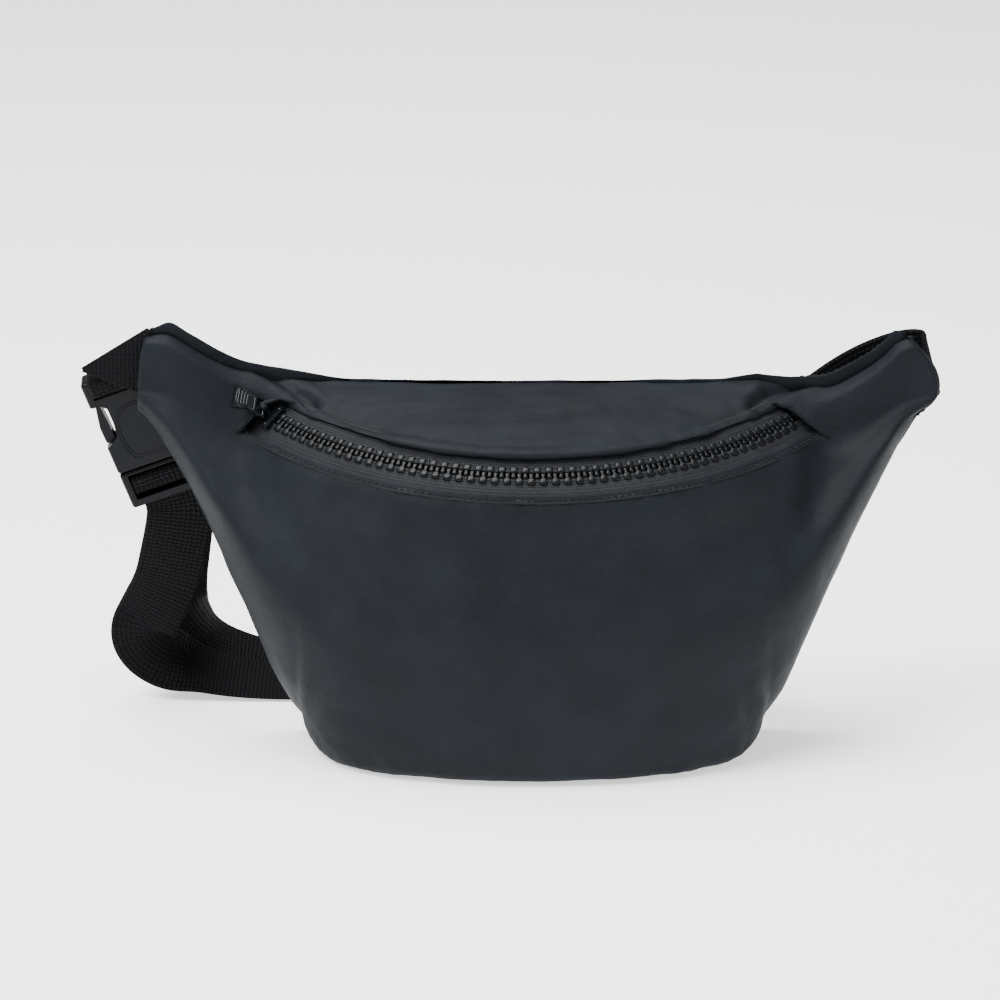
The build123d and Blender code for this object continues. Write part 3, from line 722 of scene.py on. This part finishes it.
def fold_point(angle, across, up):
    """Point of a folded edge: the wanted angle is drawn in and the opening's corners are round."""
    angle, across = arrays(angle, across)
    side = np.where(angle > 0, FOLD_ANGLE[1], FOLD_ANGLE[-1])
    mm = radians(1) * ZIP_RADIUS
    along = np.clip(FOLD_ROUND - (TAPE_END - np.abs(angle)) * mm, 0, FOLD_ROUND)
    aside = np.clip(FOLD_ROUND - (FOLD - np.abs(across)), 0, FOLD_ROUND)
    cut = 1 - FOLD_ROUND / np.maximum(np.hypot(along, aside), FOLD_ROUND)
    turned = np.abs(angle) - cut * along / mm
    across = across - np.sign(across) * cut * aside
    return zip_world(np.sign(angle) * turned * side / TAPE_END, across, up)


def flange(outer, angle, across, height=1.0, rows=5):
    """Rows from the panel's edge (outer) over the tape to a rolled fold."""
    grid = []
    inner = fold_point(angle, across, height)
    normal = fold_point(angle, across, height + 1) - inner
    for t in shares(rows + 1)[1:]:
        swell = 0.7 * np.sin(pi * t)
        grid.append(outer + (inner - outer) * t + normal * swell)
    inward = unit(outer - inner)
    for back, drop in ((-0.35, 0.25), (-0.35, 0.65), (0.1, 0.9), (1.2, 0.95)):
        grid.append(inner + inward * back - normal * drop)
    return grid


def wing_columns(side, inner):
    """x of the columns between an inner line and the wing's tip."""
    return inner + (TIP_X[side] - inner) * WING_SPREAD


def angle_at(edge, side):
    """The zipper's angle at the points of a tape's edge: side -1 is the lower tape."""
    return np.degrees(np.arcsin(edge[:, 0] / (ZIP_RADIUS + side * TAPE_HALF * ACROSS_R)))


def flap_seam(v):
    """x of the top panel's side seam, from the zipper (v 0) to the back (v 1)."""
    return FLAP_X + (FLAP_BACK_X - FLAP_X) * v


def front_patches(inset=0.0, with_flange=True):
    """Grids (mm) of base, front, flanges and both wings up to the back seam."""
    middle = np.linspace(-LOWER_END_X, LOWER_END_X, MIDDLE_COLUMNS)
    left, right = (side * wing_columns(side, LOWER_END_X)[1:] for side in (-1, 1))
    front_x = np.array([*left[::-1], *middle, *right])
    v_rows = np.concatenate([shares(7)[:-1], np.linspace(1, LOWER_KEY, 64)])
    front = np.stack([surface(front_x, v, inset) for v in v_rows])
    base = np.stack([base_point(tip(front_x), t) for t in shares(12)])
    base[..., 0] = front_x
    patches = [bowed(base), front]
    columns = {-1: [front[:, 0]], 1: [front[:, -1]]}
    if with_flange:
        edge = front[-1, WING_COLUMNS - 1:WING_COLUMNS - 1 + MIDDLE_COLUMNS]
        patches.append(np.stack([edge] + flange(edge, angle_at(edge, -1), -FOLD)))
    for side in (-1, 1):
        band, top = [], []
        for v in shares(14):
            inner = LOWER_END_X + (UPPER_END_X - LOWER_END_X) * v
            band.append(surface(side * wing_columns(side, inner), LOWER_KEY + v, inset))
        for v in shares(26):
            inner = UPPER_END_X + (WING_BACK_X - UPPER_END_X) * v
            seam = np.linspace(flap_seam(v), inner, SEAM_COLUMNS)[:-1]
            x = side * np.array([*seam, *wing_columns(side, inner)])
            top.append(surface(x, UPPER_KEY + 2 * v, inset))
        band, top = np.stack(band), np.stack(top)
        grids = [band, top]
        columns[side] += [band[1:, -1], top[1:, -1]]
        if not inset:
            grids.append(tip_cap(columns[side], side))
        if with_flange:
            across = np.linspace(-FOLD, FOLD, 14)
            end = flange(band[:, 0], np.full(14, side * TAPE_END), across)
            grids.append(np.stack([band[:, 0]] + end, 1)[:, ::-1])
            upper = top[0, :SEAM_COLUMNS]
            grids.append(np.stack(flange(upper, angle_at(upper, 1), FOLD, 1.3)[::-1] + [upper]))
        if side < 0:
            grids = [g[:, ::-1] for g in grids]
        patches += grids
    return patches


def flap_patch(first, last):
    """Grid of the top panel between two shares of its width, -1 to 1, with its soft fold."""
    share = np.linspace(first, last, 91)
    v = shares(34)[:, None]
    rows = list(bowed(outline_point(flap_seam(v) * share, UPPER_KEY + 2 * v)))
    puff = 1.3 + 1.3 * clip01(1 - np.abs(share) ** 6)
    return np.stack(flange(rows[0], angle_at(rows[0], 1), FOLD, puff, 6)[::-1] + rows)


def vertex_values(obj, key):
    values = np.zeros(len(obj.data.vertices) * 3, np.float32)
    obj.data.vertices.foreach_get(key, values)
    return values.reshape(-1, 3).astype(float)


def move_vertices(obj, points):
    obj.data.vertices.foreach_set("co", (points * MM).astype(np.float32).ravel())


def away(points, line):
    """Distance (mm) from each point to a line, and how far along the line that is."""
    step, chunk = 1.5, 4000
    line = resample(line, step)
    best, where = [], []
    for start in range(0, len(points), chunk):
        d = norm(points[start:start + chunk, None] - line[None], axis=2)
        best.append(d.min(1))
        where.append(d.argmin(1) * step)
    return np.concatenate(best), np.concatenate(where)


def noise_at(points, sizes, seed, octaves=2):
    """Noise from -1 to 1 at points in mm, with features of a size, or of one size per axis."""
    scaled = (points / np.array(sizes) + seed).reshape(-1, 3)
    values = [noise.fractal(Vector(p), 1.0, 2.0, octaves) for p in scaled]
    return np.array(values).reshape(points.shape[:-1])


LOWER_LINE = zip_world(np.linspace(-TAPE_END, TAPE_END, 160), -12.2, 0.8)
UPPER_LINE = zip_world(np.linspace(-50, 50, 140), 13.5, 1.0)
SEAM_V = shares(30)
SEAMS = [bowed(outline_point(side * flap_seam(SEAM_V), UPPER_KEY + 2 * SEAM_V)) for side in (-1, 1)]
PULL_LINE = pull_world([(x, 0, -1.2) for x in np.linspace(1, 17, 12)])
FOLDS = [                   # tension folds: start, end, half width and height in mm
    ((-104, -28, 96), (-60, -44, 62), 8, 0.9),
    ((-84, -30, 50), (-93, -22, 12), 7, 1.2),
    ((-96, -20, 44), (-104, -4, 20), 5, -1.1),
    ((84, -30, 48), (92, -20, 10), 6, 1.3),
    ((93, -22, 42), (100, -6, 16), 4.5, -1.3),
    ((98, -14, 60), (110, 2, 40), 6, 0.9),
    ((118, 6, 132), (96, -22, 96), 9, 0.8),
    ((-128, 20, 140), (-112, -4, 100), 8, 0.8),
    ((140, 14, 150), (120, 2, 108), 8, -0.7),
    ((60, -42, 60), (20, -43, 30), 14, 0.8),
    ((-30, -43, 95), (25, -42, 80), 12, -0.6),
    ((-146, 20, 170), (-128, 24, 163), 5, 0.9),
    ((146, 20, 166), (128, 26, 160), 5, -0.8),
]


def cloth_relief(points, panel):
    """How far (mm) the stuffed cloth stands out of its smooth form at each point."""
    if panel == "back":
        broad, fine = noise_at(points, (40, 40, 30), 6.0), noise_at(points, (12, 12, 16), 2.0)
        return 0.5 * broad + 0.25 * fine - 0.7
    x, y, z = points.T
    out = 0.9 * noise_at(points, (48, 60, 40), 3.1) + 0.35 * noise_at(points, (17, 25, 14), 8.7)
    lower, s = away(points, LOWER_LINE)
    upper, s_up = away(points, UPPER_LINE)
    out *= 0.25 + 0.75 * clip01(lower / 14) * clip01(upper / 10)
    ripple = noise_at(np.stack([s, lower * 0.6, 0 * s], -1), (4.2, 16, 10), 1.7)
    out += 0.42 * ripple * bell(lower, 9)
    ripple = noise_at(np.stack([s_up, upper * 0.5, 0 * s], -1), (6.5, 14, 10), 5.2)
    out += 0.55 * ripple * bell(upper, 10)
    out -= 0.55 * bell(lower - 0.2, 1.3)
    for line in SEAMS:
        d, where = away(points, line)
        out -= 1.7 * bell(d, 2.6)
        out += 0.9 * bell(d - 6, 3.5)
        out += 0.5 * noise_at(np.stack([where, d, 0 * d], -1), (5, 9, 9), 9.0) * bell(d, 9)
    out -= 1.2 * bell(np.abs(y - BACK_Y), 2.2) * (z > 8)
    if panel == "front":
        out -= 3.4 * bell(away(points, PULL_LINE)[0], 8.5)
        for start, end, half, height in FOLDS:
            a, b = np.array(start, float), np.array(end, float)
            t = clip01(((points - a) @ (b - a)) / ((b - a) @ (b - a)))
            bend = 2.5 * np.sin(2.2 * pi * t)
            d = norm(points - (a + (b - a) * t[:, None]), axis=1) + 0.3 * bend
            taper = np.sqrt(clip01(4 * t * (1 - t))) * (0.6 + 0.4 * t)
            out += height * taper * (bell(d, half) - 0.6 * bell(d - 1.5 * half, half))
        wave = noise_at(points * np.array([1, 1, 0.25]), (6.5, 6.5, 9), 4.4)
        out += 0.75 * wave * bell(z - 6, 9) * (y < 30) * np.clip((np.abs(x) - 30) / 50, 0.15, 1)
    else:
        out += 0.8 * noise_at(points, (34, 9, 9), 2.2)
        out += 1.3 * clip01(1 - (x / 70) ** 2) * clip01((40 - y) / 40)
        out -= 1.1 * bell(x + 62, 20) * bell(y - 8, 8)
        out -= 1.0 * bell(x - 74, 18) * bell(y - 14, 8)
    return out


def sculpt(obj, panel):
    points = vertex_values(obj, "co") * PER_METRE
    points += vertex_values(obj, "normal") * cloth_relief(points, panel)[:, None]
    points[:, 2] = np.maximum(points[:, 2], 0.25)
    move_vertices(obj, points)
    obj.data.update()


def relax(obj, centres, reach, times):
    """Evens out the cloth round some points (mm)."""
    axes = {f"use_axis_{axis}": True for axis in "xyz"}
    centres = [Vector(c) for c in centres]
    with edited(obj.data) as bm:
        near = [v for v in bm.verts if min((v.co * PER_METRE - c).length for c in centres) < reach]
        for _ in range(times):
            bmesh.ops.smooth_vert(bm, verts=near, factor=0.5, **axes)


def outward(obj, inside=(0, 0.02, 0.09)):
    """Faces look away from a point (m) inside."""
    with edited(obj.data) as bm:
        bmesh.ops.recalc_face_normals(bm, faces=bm.faces)
        inside = Vector(inside)
        if sum((f.calc_center_median() - inside).dot(f.normal) * f.calc_area() for f in bm.faces) < 0:
            bmesh.ops.reverse_faces(bm, faces=bm.faces)


front_shell = add_mesh("front_shell", front_patches(), SHELL)
top_left = add_mesh("top_panel_left", [flap_patch(-1, 0)], SHELL)
top_right = add_mesh("top_panel_right", [flap_patch(0, 1)], SHELL)

back_x = np.linspace(-TIP_X[-1], TIP_X[1], 170)
back_low, back_top, wing_top = (table(t, tip(back_x)) for t in (SIDE_TABLE, BACK_TABLE, TOP_TABLE))
back_rows = [on_back(back_x, back_low + (back_top - back_low) * t) for t in shares(52)]
lift = clip01((back_top - wing_top) / 4)
for y, dz in ((-0.5, 0.8), (-1.4, 1.1), (-2.2, 0.7), (-2.5, -0.3)):
    back_rows.append(on_back(back_x, back_top + dz * (0.4 + 0.6 * lift), y))
back_rows.append(on_back(back_x, wing_top - 3.0, -1.6))
back_shell = add_mesh("back_shell", [bowed(np.stack(back_rows)[::-1])], SHELL)
for obj, panel in ((front_shell, "front"), (top_left, "top"), (top_right, "top")):
    outward(obj)
    sculpt(obj, panel)
CORNERS = [zip_world(side * (TAPE_END + 0.6), across) for side in (-1, 1) for across in (-15.0, 15.0)]
relax(front_shell, CORNERS, 6.5, 8)
outward(back_shell, (0, 0, 0.09))
sculpt(back_shell, "back")


def topstitch(name, line, obj, pitch=3.0):
    """Thread along a line (mm), laid on the nearest cloth of an object."""
    polygons = [p.vertices for p in obj.data.polygons]
    tree = BVHTree.FromPolygons([v.co for v in obj.data.vertices], polygons)
    hits = [tree.find_nearest(Vector(p) * MM) for p in resample(line, 1.0)]
    spots, normals = (averaged(np.array([h[i] for h in hits]), np.ones(5) / 5) for i in (0, 1))
    rows = stitches(spots * PER_METRE, pitch, 0.7, 0.26, 0.22, normals)
    riding(add_mesh(name, rows, THREAD, merge=0), "root", "thread")


main_stitch = np.concatenate([
    zip_world(-55.2, np.linspace(9.0, -10.5, 16), 1.2),
    zip_world(np.linspace(-54.0, 53.2, 200), -12.3, 1.0),
    zip_world(54.6, np.linspace(-12.0, 12.0, 24), 1.2),
])
topstitch("zipper_topstitch", main_stitch, front_shell)
topstitch("zipper_topstitch_end", zip_world(56.6, np.linspace(-14.5, 13.0, 20), 1.2), front_shell)
rim_x = np.linspace(-172, 174, 200)
topstitch("back_topstitch_low", on_back(rim_x, table(SIDE_TABLE, rim_x) + 5.5), back_shell, 3.2)
topstitch("back_topstitch_high", on_back(rim_x, table(BACK_TABLE, rim_x) - 4.5), back_shell, 3.2)

# the bound edge where front and back panels meet
loop_x = np.linspace(-TIP_X[-1] + 0.3, TIP_X[1] - 0.3, 240)
low_edge = on_back(loop_x, np.maximum(table(SIDE_TABLE, tip(loop_x)), 1.6), 0.2)
low_edge[:, 1] += 0.25 * np.sin(loop_x / 3.1) * np.sin(loop_x / 7.7)
binding = add_mesh("seam_binding", [tube(bowed(low_edge), 1.25, 10)], SHELL, merge=0.02)
riding(front_shell, "root", "shell_fabric", "front_panel")
riding(back_shell, "root", "shell_fabric", "back_panel")
riding(binding, "root", "shell_fabric")


def with_mouth(obj, side, slot, *replaced):
    """A piece with its transform baked into its mesh, in place of CAD nodes."""
    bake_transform(obj)
    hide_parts(*replaced)


with_mouth(top_left, -1, "shell_fabric", "top_panel")
with_mouth(top_right, 1, "shell_fabric", "top_panel")

LINING_INSET = 3.4
TOP_LINING_INSET = 2.6
lining_grids = [p[::2, ::2] for p in front_patches(LINING_INSET, False)[1:]]
lining = add_mesh("lining_cloth", lining_grids, LINING)
points = vertex_values(lining, "co") * PER_METRE
move_vertices(lining, points + 0.8 * np.stack(
    [noise_at(points, (22, 22, 16), k) for k in (1.0, 5.0, 9.0)], -1))
riding(lining, "root", "lining_fabric", "lining")
for side, word in ((-1, "left"), (1, "right")):
    share = np.linspace(0, side * 0.97, 60)
    v = shares(20)[:, None]
    keys = UPPER_KEY + 0.02 + 1.9 * v
    grid = bowed(outline_point((FLAP_X + 20 * v) * share, keys, TOP_LINING_INSET))
    grid[..., 2] += 0.35 * noise_at(grid, 18.0, 0.0, 3)
    part = add_mesh(f"top_lining_{word}", [grid], LINING)
    with_mouth(part, side, "lining_fabric", "top_lining")


# ---- zipper ----
TAPE_ACROSS = np.array(
    [1.5, 1.5, 1.9, 2.6, 3.2, 3.8, 4.6, 5.4, 5.9, 6.2, 6.6, 8.0, 9.5, 11.0, 12.5, 13.9])
TAPE_UP = np.array(
    [-0.5, 0.5, 0.85, 1.0, 0.85, 0.5, 0.32, 0.32, 0.5, 0.5, 0.32, 0.3, 0.3, 0.3, 0.3, 0.3])
TAPE_UNDERSIDE = -0.35


def tape_piece(name, side, first, last):
    """Knitted tape with a corded edge beside the teeth and a faint wave along it."""
    angles = np.linspace(first, last, int(abs(last - first) * 2.5))
    across = np.concatenate([TAPE_ACROSS, TAPE_ACROSS[::-1]]) * side
    up = np.concatenate([TAPE_UP, np.full(len(TAPE_ACROSS), TAPE_UNDERSIDE)])
    turn = np.radians(angles)
    wave = 0.22 * np.sin(turn * 31) * np.sin(turn * 12.3 + side)
    grid = np.stack([zip_world(angles, x, h + wave * min(1, abs(x) / 9)) for x, h in zip(across, up)])
    uv = np.stack(np.broadcast_arrays(turn * ZIP_RADIUS, np.abs(across)[:, None]), -1) * MM
    return add_mesh(name, [(grid, uv)], TAPE, merge=0.02)


TOOTH = [                   # across, half length along the chain, half height
    (4.55, 0.3, 0.2), (4.5, 1.25, 0.95), (4.2, 1.62, 1.4), (3.4, 1.7, 1.62), (2.2, 1.68, 1.66),
    (1.55, 1.5, 1.55), (1.25, 0.95, 1.3), (0.7, 0.78, 1.2), (0.25, 0.86, 1.25), (-0.25, 1.1, 1.3),
    (-0.8, 1.14, 1.25), (-1.2, 0.85, 1.0), (-1.35, 0.2, 0.3),
]


def tooth_grid(angle, side):
    """One moulded tooth: a rounded block clamped on the tape, a neck and an interlocking head."""
    a = np.linspace(0, 2 * pi, 21)
    rows = []
    for across, length, up in TOOTH:
        c = np.sign(np.cos(a)) * np.abs(np.cos(a)) ** 0.42 * length
        u = np.sign(np.sin(a)) * np.abs(np.sin(a)) ** 0.42 * up
        rows.append(zip_world(angle + np.degrees(c / ZIP_RADIUS), side * across, u))
    return np.stack(rows)


TEETH_ENDS = {-1: -49.4, 1: 50.8}       # degrees from the chain's middle
UPPER_TAPE_END = 53.5


def teeth_row(name, side, first, last):
    """The teeth of one side of the chain between two angles."""
    step = degrees(TOOTH_PITCH / ZIP_RADIUS)
    count = int(TEETH_ENDS[1] * 2 / step)
    start = -(count - 1) * step / 2 + side * step / 4
    angles = [start + i * step for i in range(count)]
    teeth = [tooth_grid(angle, side) for angle in angles if first <= angle < last]
    return add_mesh(name, teeth, TEETH, merge=0.01)


lower_tape = tape_piece("lower_zipper_tape", -1, -TAPE_END, TAPE_END)
riding(lower_tape, "root", "zipper_tape", "lower_tape")
lower_teeth = teeth_row("lower_teeth_row", -1, TEETH_ENDS[-1], TEETH_ENDS[1])
riding(lower_teeth, "root", "zipper_moulding", "lower_teeth")
for side, word in ((-1, "left"), (1, "right")):
    tape = tape_piece(f"upper_zipper_tape_{word}", 1, *sorted((0.0, side * UPPER_TAPE_END)))
    with_mouth(tape, side, "zipper_tape", "upper_tape", "upper_tape_ends")
    teeth = teeth_row(f"upper_teeth_row_{word}", 1, *sorted((0.0, TEETH_ENDS[side])))
    with_mouth(teeth, side, "zipper_moulding", "upper_teeth", "upper_teeth_ends")

# ---- buckle frame, webbing on it ----
ACROSS = unit(np.array([0.942, 0.0, 0.336]))
UPWARD = np.array([-0.332, -0.15, 0.931])
UPWARD = unit(UPWARD - ACROSS * (UPWARD @ ACROSS))
FACING = np.cross(ACROSS, UPWARD)
CENTRE = np.array([-175.3, 52.5, 140.0])
LOOP_STEP = 0.6


def buckle_world(x, y, z):
    """World place (mm) of points given across, up and out of the buckle."""
    x, y, z = arrays(x, y, z)
    return CENTRE + x[..., None] * ACROSS + y[..., None] * UPWARD + z[..., None] * FACING


def rounded_route(points, times=3):
    """A route whose corners are cut again and again."""
    pts = np.asarray(points, float)
    for _ in range(times):
        q = 0.75 * pts[:-1] + 0.25 * pts[1:]
        r = 0.25 * pts[:-1] + 0.75 * pts[1:]
        middle = np.stack([q, r], 1).reshape(-1, pts.shape[1])
        pts = np.concatenate([pts[:1], middle, pts[-1:]])
    return pts


def flat_loop(route):
    """Webbing patch along a (y, z) route in the buckle's frame."""
    route = rounded_route(route)
    line = resample(np.column_stack([np.zeros(len(route)), route]), LOOP_STEP)
    pts = buckle_world(-0.5, line[:, 1], line[:, 2])
    width = np.repeat(ACROSS[None], len(pts), 0)
    face = np.cross(unit(np.gradient(pts, axis=0)), width)
    return ribbon_patch(pts, np.arange(len(pts)) * LOOP_STEP, width, face)


wrap = add_mesh("belt_through_ladder", [flat_loop([
    (-35.2, -8.05), (-27, -8.05), (-18.8, -8.0), (-18.8, -1.5), (-18.8, 4.45), (-22.9, 4.45),
    (-27, 4.45), (-27, -1.0), (-27, -6.35), (-31, -6.35), (-35.2, -6.35)])], WEBBING, merge=0.02)
riding(wrap, "plug", "webbing", "belt_wrap")
rows = []
for y in (-20.9, -22.6):
    line = buckle_world(np.linspace(-14, 13, 60), y, 5.2)
    rows += stitches(line, 2.4, 0.75, 0.24, 0.1, np.repeat(FACING[None], 60, 0))
riding(add_mesh("ladder_stitching", rows, THREAD, merge=0), "plug", "thread")

bar_loop = flat_loop([
    (25.6, 6.6), (29, 7.0), (32.5, 6.9), (34.2, 4.0), (34.2, 0.0), (34.2, -4.0), (32.5, -6.9),
    (29, -7.0), (26.0, -6.8), (25.6, -3.0), (25.6, 3.0), (25.6, 6.4)])
TAB_HIGH = np.array([-170.0, 37.8, 192.0])
TAB_OUTER = np.array([-202.0, 41.2, 171.4])
TAB_LOW = np.array([-172.0, 37.6, 160.6])
TAB_FACING = np.array([-0.1, -0.99, 0.0])


def folded_tab(offset, bulge):
    """Triangle of webbing between wing end, diagonal fold and the buckle's bar."""
    t = shares(26)[:, None, None]
    s = shares(40)[:, None]
    on_wing = TAB_HIGH + (TAB_LOW - TAB_HIGH) * t
    on_fold = TAB_HIGH + (TAB_OUTER - TAB_HIGH) * np.minimum(1, 1.04 * t + 0.02)
    line = on_wing + (on_fold - on_wing) * s
    depth = offset + bulge * np.sin(pi * s) * (0.4 + 0.6 * t)
    return line + TAB_FACING * depth, np.stack([-line[..., 0], line[..., 2]], -1) * MM


tab_front, uv = folded_tab(1.3, 1.0)
tab_rear, _ = folded_tab(-0.9, -0.6)
fold_edge = (tab_front[:, -1] + tab_rear[:, -1]) / 2
low_edge = (tab_front[-1] + tab_rear[-1]) / 2
tab = add_mesh("tab_strap", [
    (tab_front, uv), (tab_rear[:, ::-1], uv[:, ::-1]), bar_loop,
    tube(fold_edge[1:], 1.15, 10), tube(low_edge, 1.1, 10)], WEBBING, merge=0.01)
outward(tab, (-0.19, 0.04, 0.175))
riding(tab, "root", "webbing", "tab_webbing")

EDGES = (                   # CAD node, its material, radius of its edges in mm
    ("slider_body", SLIDER, 0.3), ("pull_tab", SLIDER, 0.35), ("zipper_end_stops", TEETH, 0.2),
    ("buckle_socket", BUCKLE, 0.45), ("buckle_plug", BUCKLE, 0.4),
    ("left_prong", BUCKLE, 0.3), ("right_prong", BUCKLE, 0.3),
)
for name, mat, radius in EDGES:
    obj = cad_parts[name]
    obj.data.materials.clear()
    obj.data.materials.append(mat)
    rounding = obj.modifiers.new("rounded_edges", "BEVEL")
    rounding.width = radius * MM
    rounding.segments = 2
    rounding.limit_method = "ANGLE"
    rounding.angle_limit = radians(35)

# ---- raised details of the pull, the slider and the buckle ----
PULL_FACE = 1.1             # half thickness of the pull tab
GRIP_RIM = [(5.6, 3.6), (8, 2.9), (15.2, 5.1), (15.2, -5.1), (8, -2.9), (5.6, -3.6), (5.6, 3.6)]
rows = []
for height in (-PULL_FACE, PULL_FACE):
    for x in (9.6, 11.1, 12.6, 14.1):
        wide = np.interp(x, [8, 16], [3.6, 6.0]) - 1.3
        line = [(x, y, height) for y in np.linspace(-wide, wide, 9)]
        rows.append(tube(pull_world(line), 0.34))
    line = rounded_route([(x, y, height) for x, y in GRIP_RIM], 2)
    rows.append(tube(pull_world(line), 0.3))
riding(add_mesh("pull_grip", rows, SLIDER, merge=0), "pull", "zipper_slider")

rows = []
for side in (-1, 1):
    line = slider_world(np.array([(x, side * 4.6, 3.1) for x in np.linspace(-4.6, 4.6, 12)]))
    rows.append(tube(line, 0.42))
riding(add_mesh("slider_crown", rows, SLIDER, merge=0), "slider", "zipper_slider")

SOCKET_FACE = 6.0           # half thickness of the buckle's socket
rows = []
for height in (-SOCKET_FACE, SOCKET_FACE):
    for half, low, high in ((11.5, -9.5, 17.5), (10.2, -8.2, 16.2)):
        ring = [(0, low), (-half, low), (-half, high), (half, high), (half, low), (0, low)]
        route = rounded_route([(x, y, height) for x, y in ring])
        rows.append(tube(buckle_world(*route.T), 0.28))
riding(add_mesh("buckle_panel_lines", rows, BUCKLE, merge=0), "root", "buckle_moulding")

# ---- floor, light and camera ----
bpy.ops.mesh.primitive_plane_add(size=12, location=(0, 0, -0.0002))
floor = bpy.context.object
floor.name = "floor"
paper, _, bsdf = material("pale_floor", (0.9, 0.905, 0.91), 0.9)
bsdf.inputs["Emission Color"].default_value = (1, 1, 1, 1)
bsdf.inputs["Emission Strength"].default_value = 0.9
floor.data.materials.append(paper)

world = bpy.data.worlds.new("studio")
scene.world = world
world.use_nodes = True
sky = world.node_tree.nodes["Background"]
sky.inputs["Color"].default_value = (1, 1, 1, 1)
sky.inputs["Strength"].default_value = 0.45


def placed(name, data, place, target):
    """Adds a lamp or a camera that looks at a target."""
    obj = bpy.data.objects.new(name, data)
    obj.location = place
    obj.rotation_euler = (target - Vector(place)).to_track_quat("-Z", "Y").to_euler()
    scene.collection.objects.link(obj)
    return obj


LAMPS = (                   # place, width and height in metres, power in watts
    ("key", (-1.2, -0.9, 2.0), (1.2, 1.2), 72),
    ("fill", (1.5, -1.4, 1.3), (1.0, 1.4), 12),
    ("top", (-0.3, 0.0, 2.0), (1.8, 1.2), 95),
)
for name, place, size, power in LAMPS:
    lamp = bpy.data.lights.new(name, "AREA")
    lamp.shape = "RECTANGLE"
    lamp.size, lamp.size_y = size
    lamp.energy = power
    placed(name, lamp, place, Vector((0, 0, 0.1)))

CAMERA_DISTANCE = 1.9
CAMERA_ELEVATION = radians(17.5)
camera = bpy.data.cameras.new("camera")
camera.lens = 157
camera.sensor_width = 36
target = Vector((-0.015, -0.030, 0.1325))
direction = Vector((0, -cos(CAMERA_ELEVATION), sin(CAMERA_ELEVATION)))
view = placed("camera", camera, target + direction * CAMERA_DISTANCE, target)
scene.camera = view
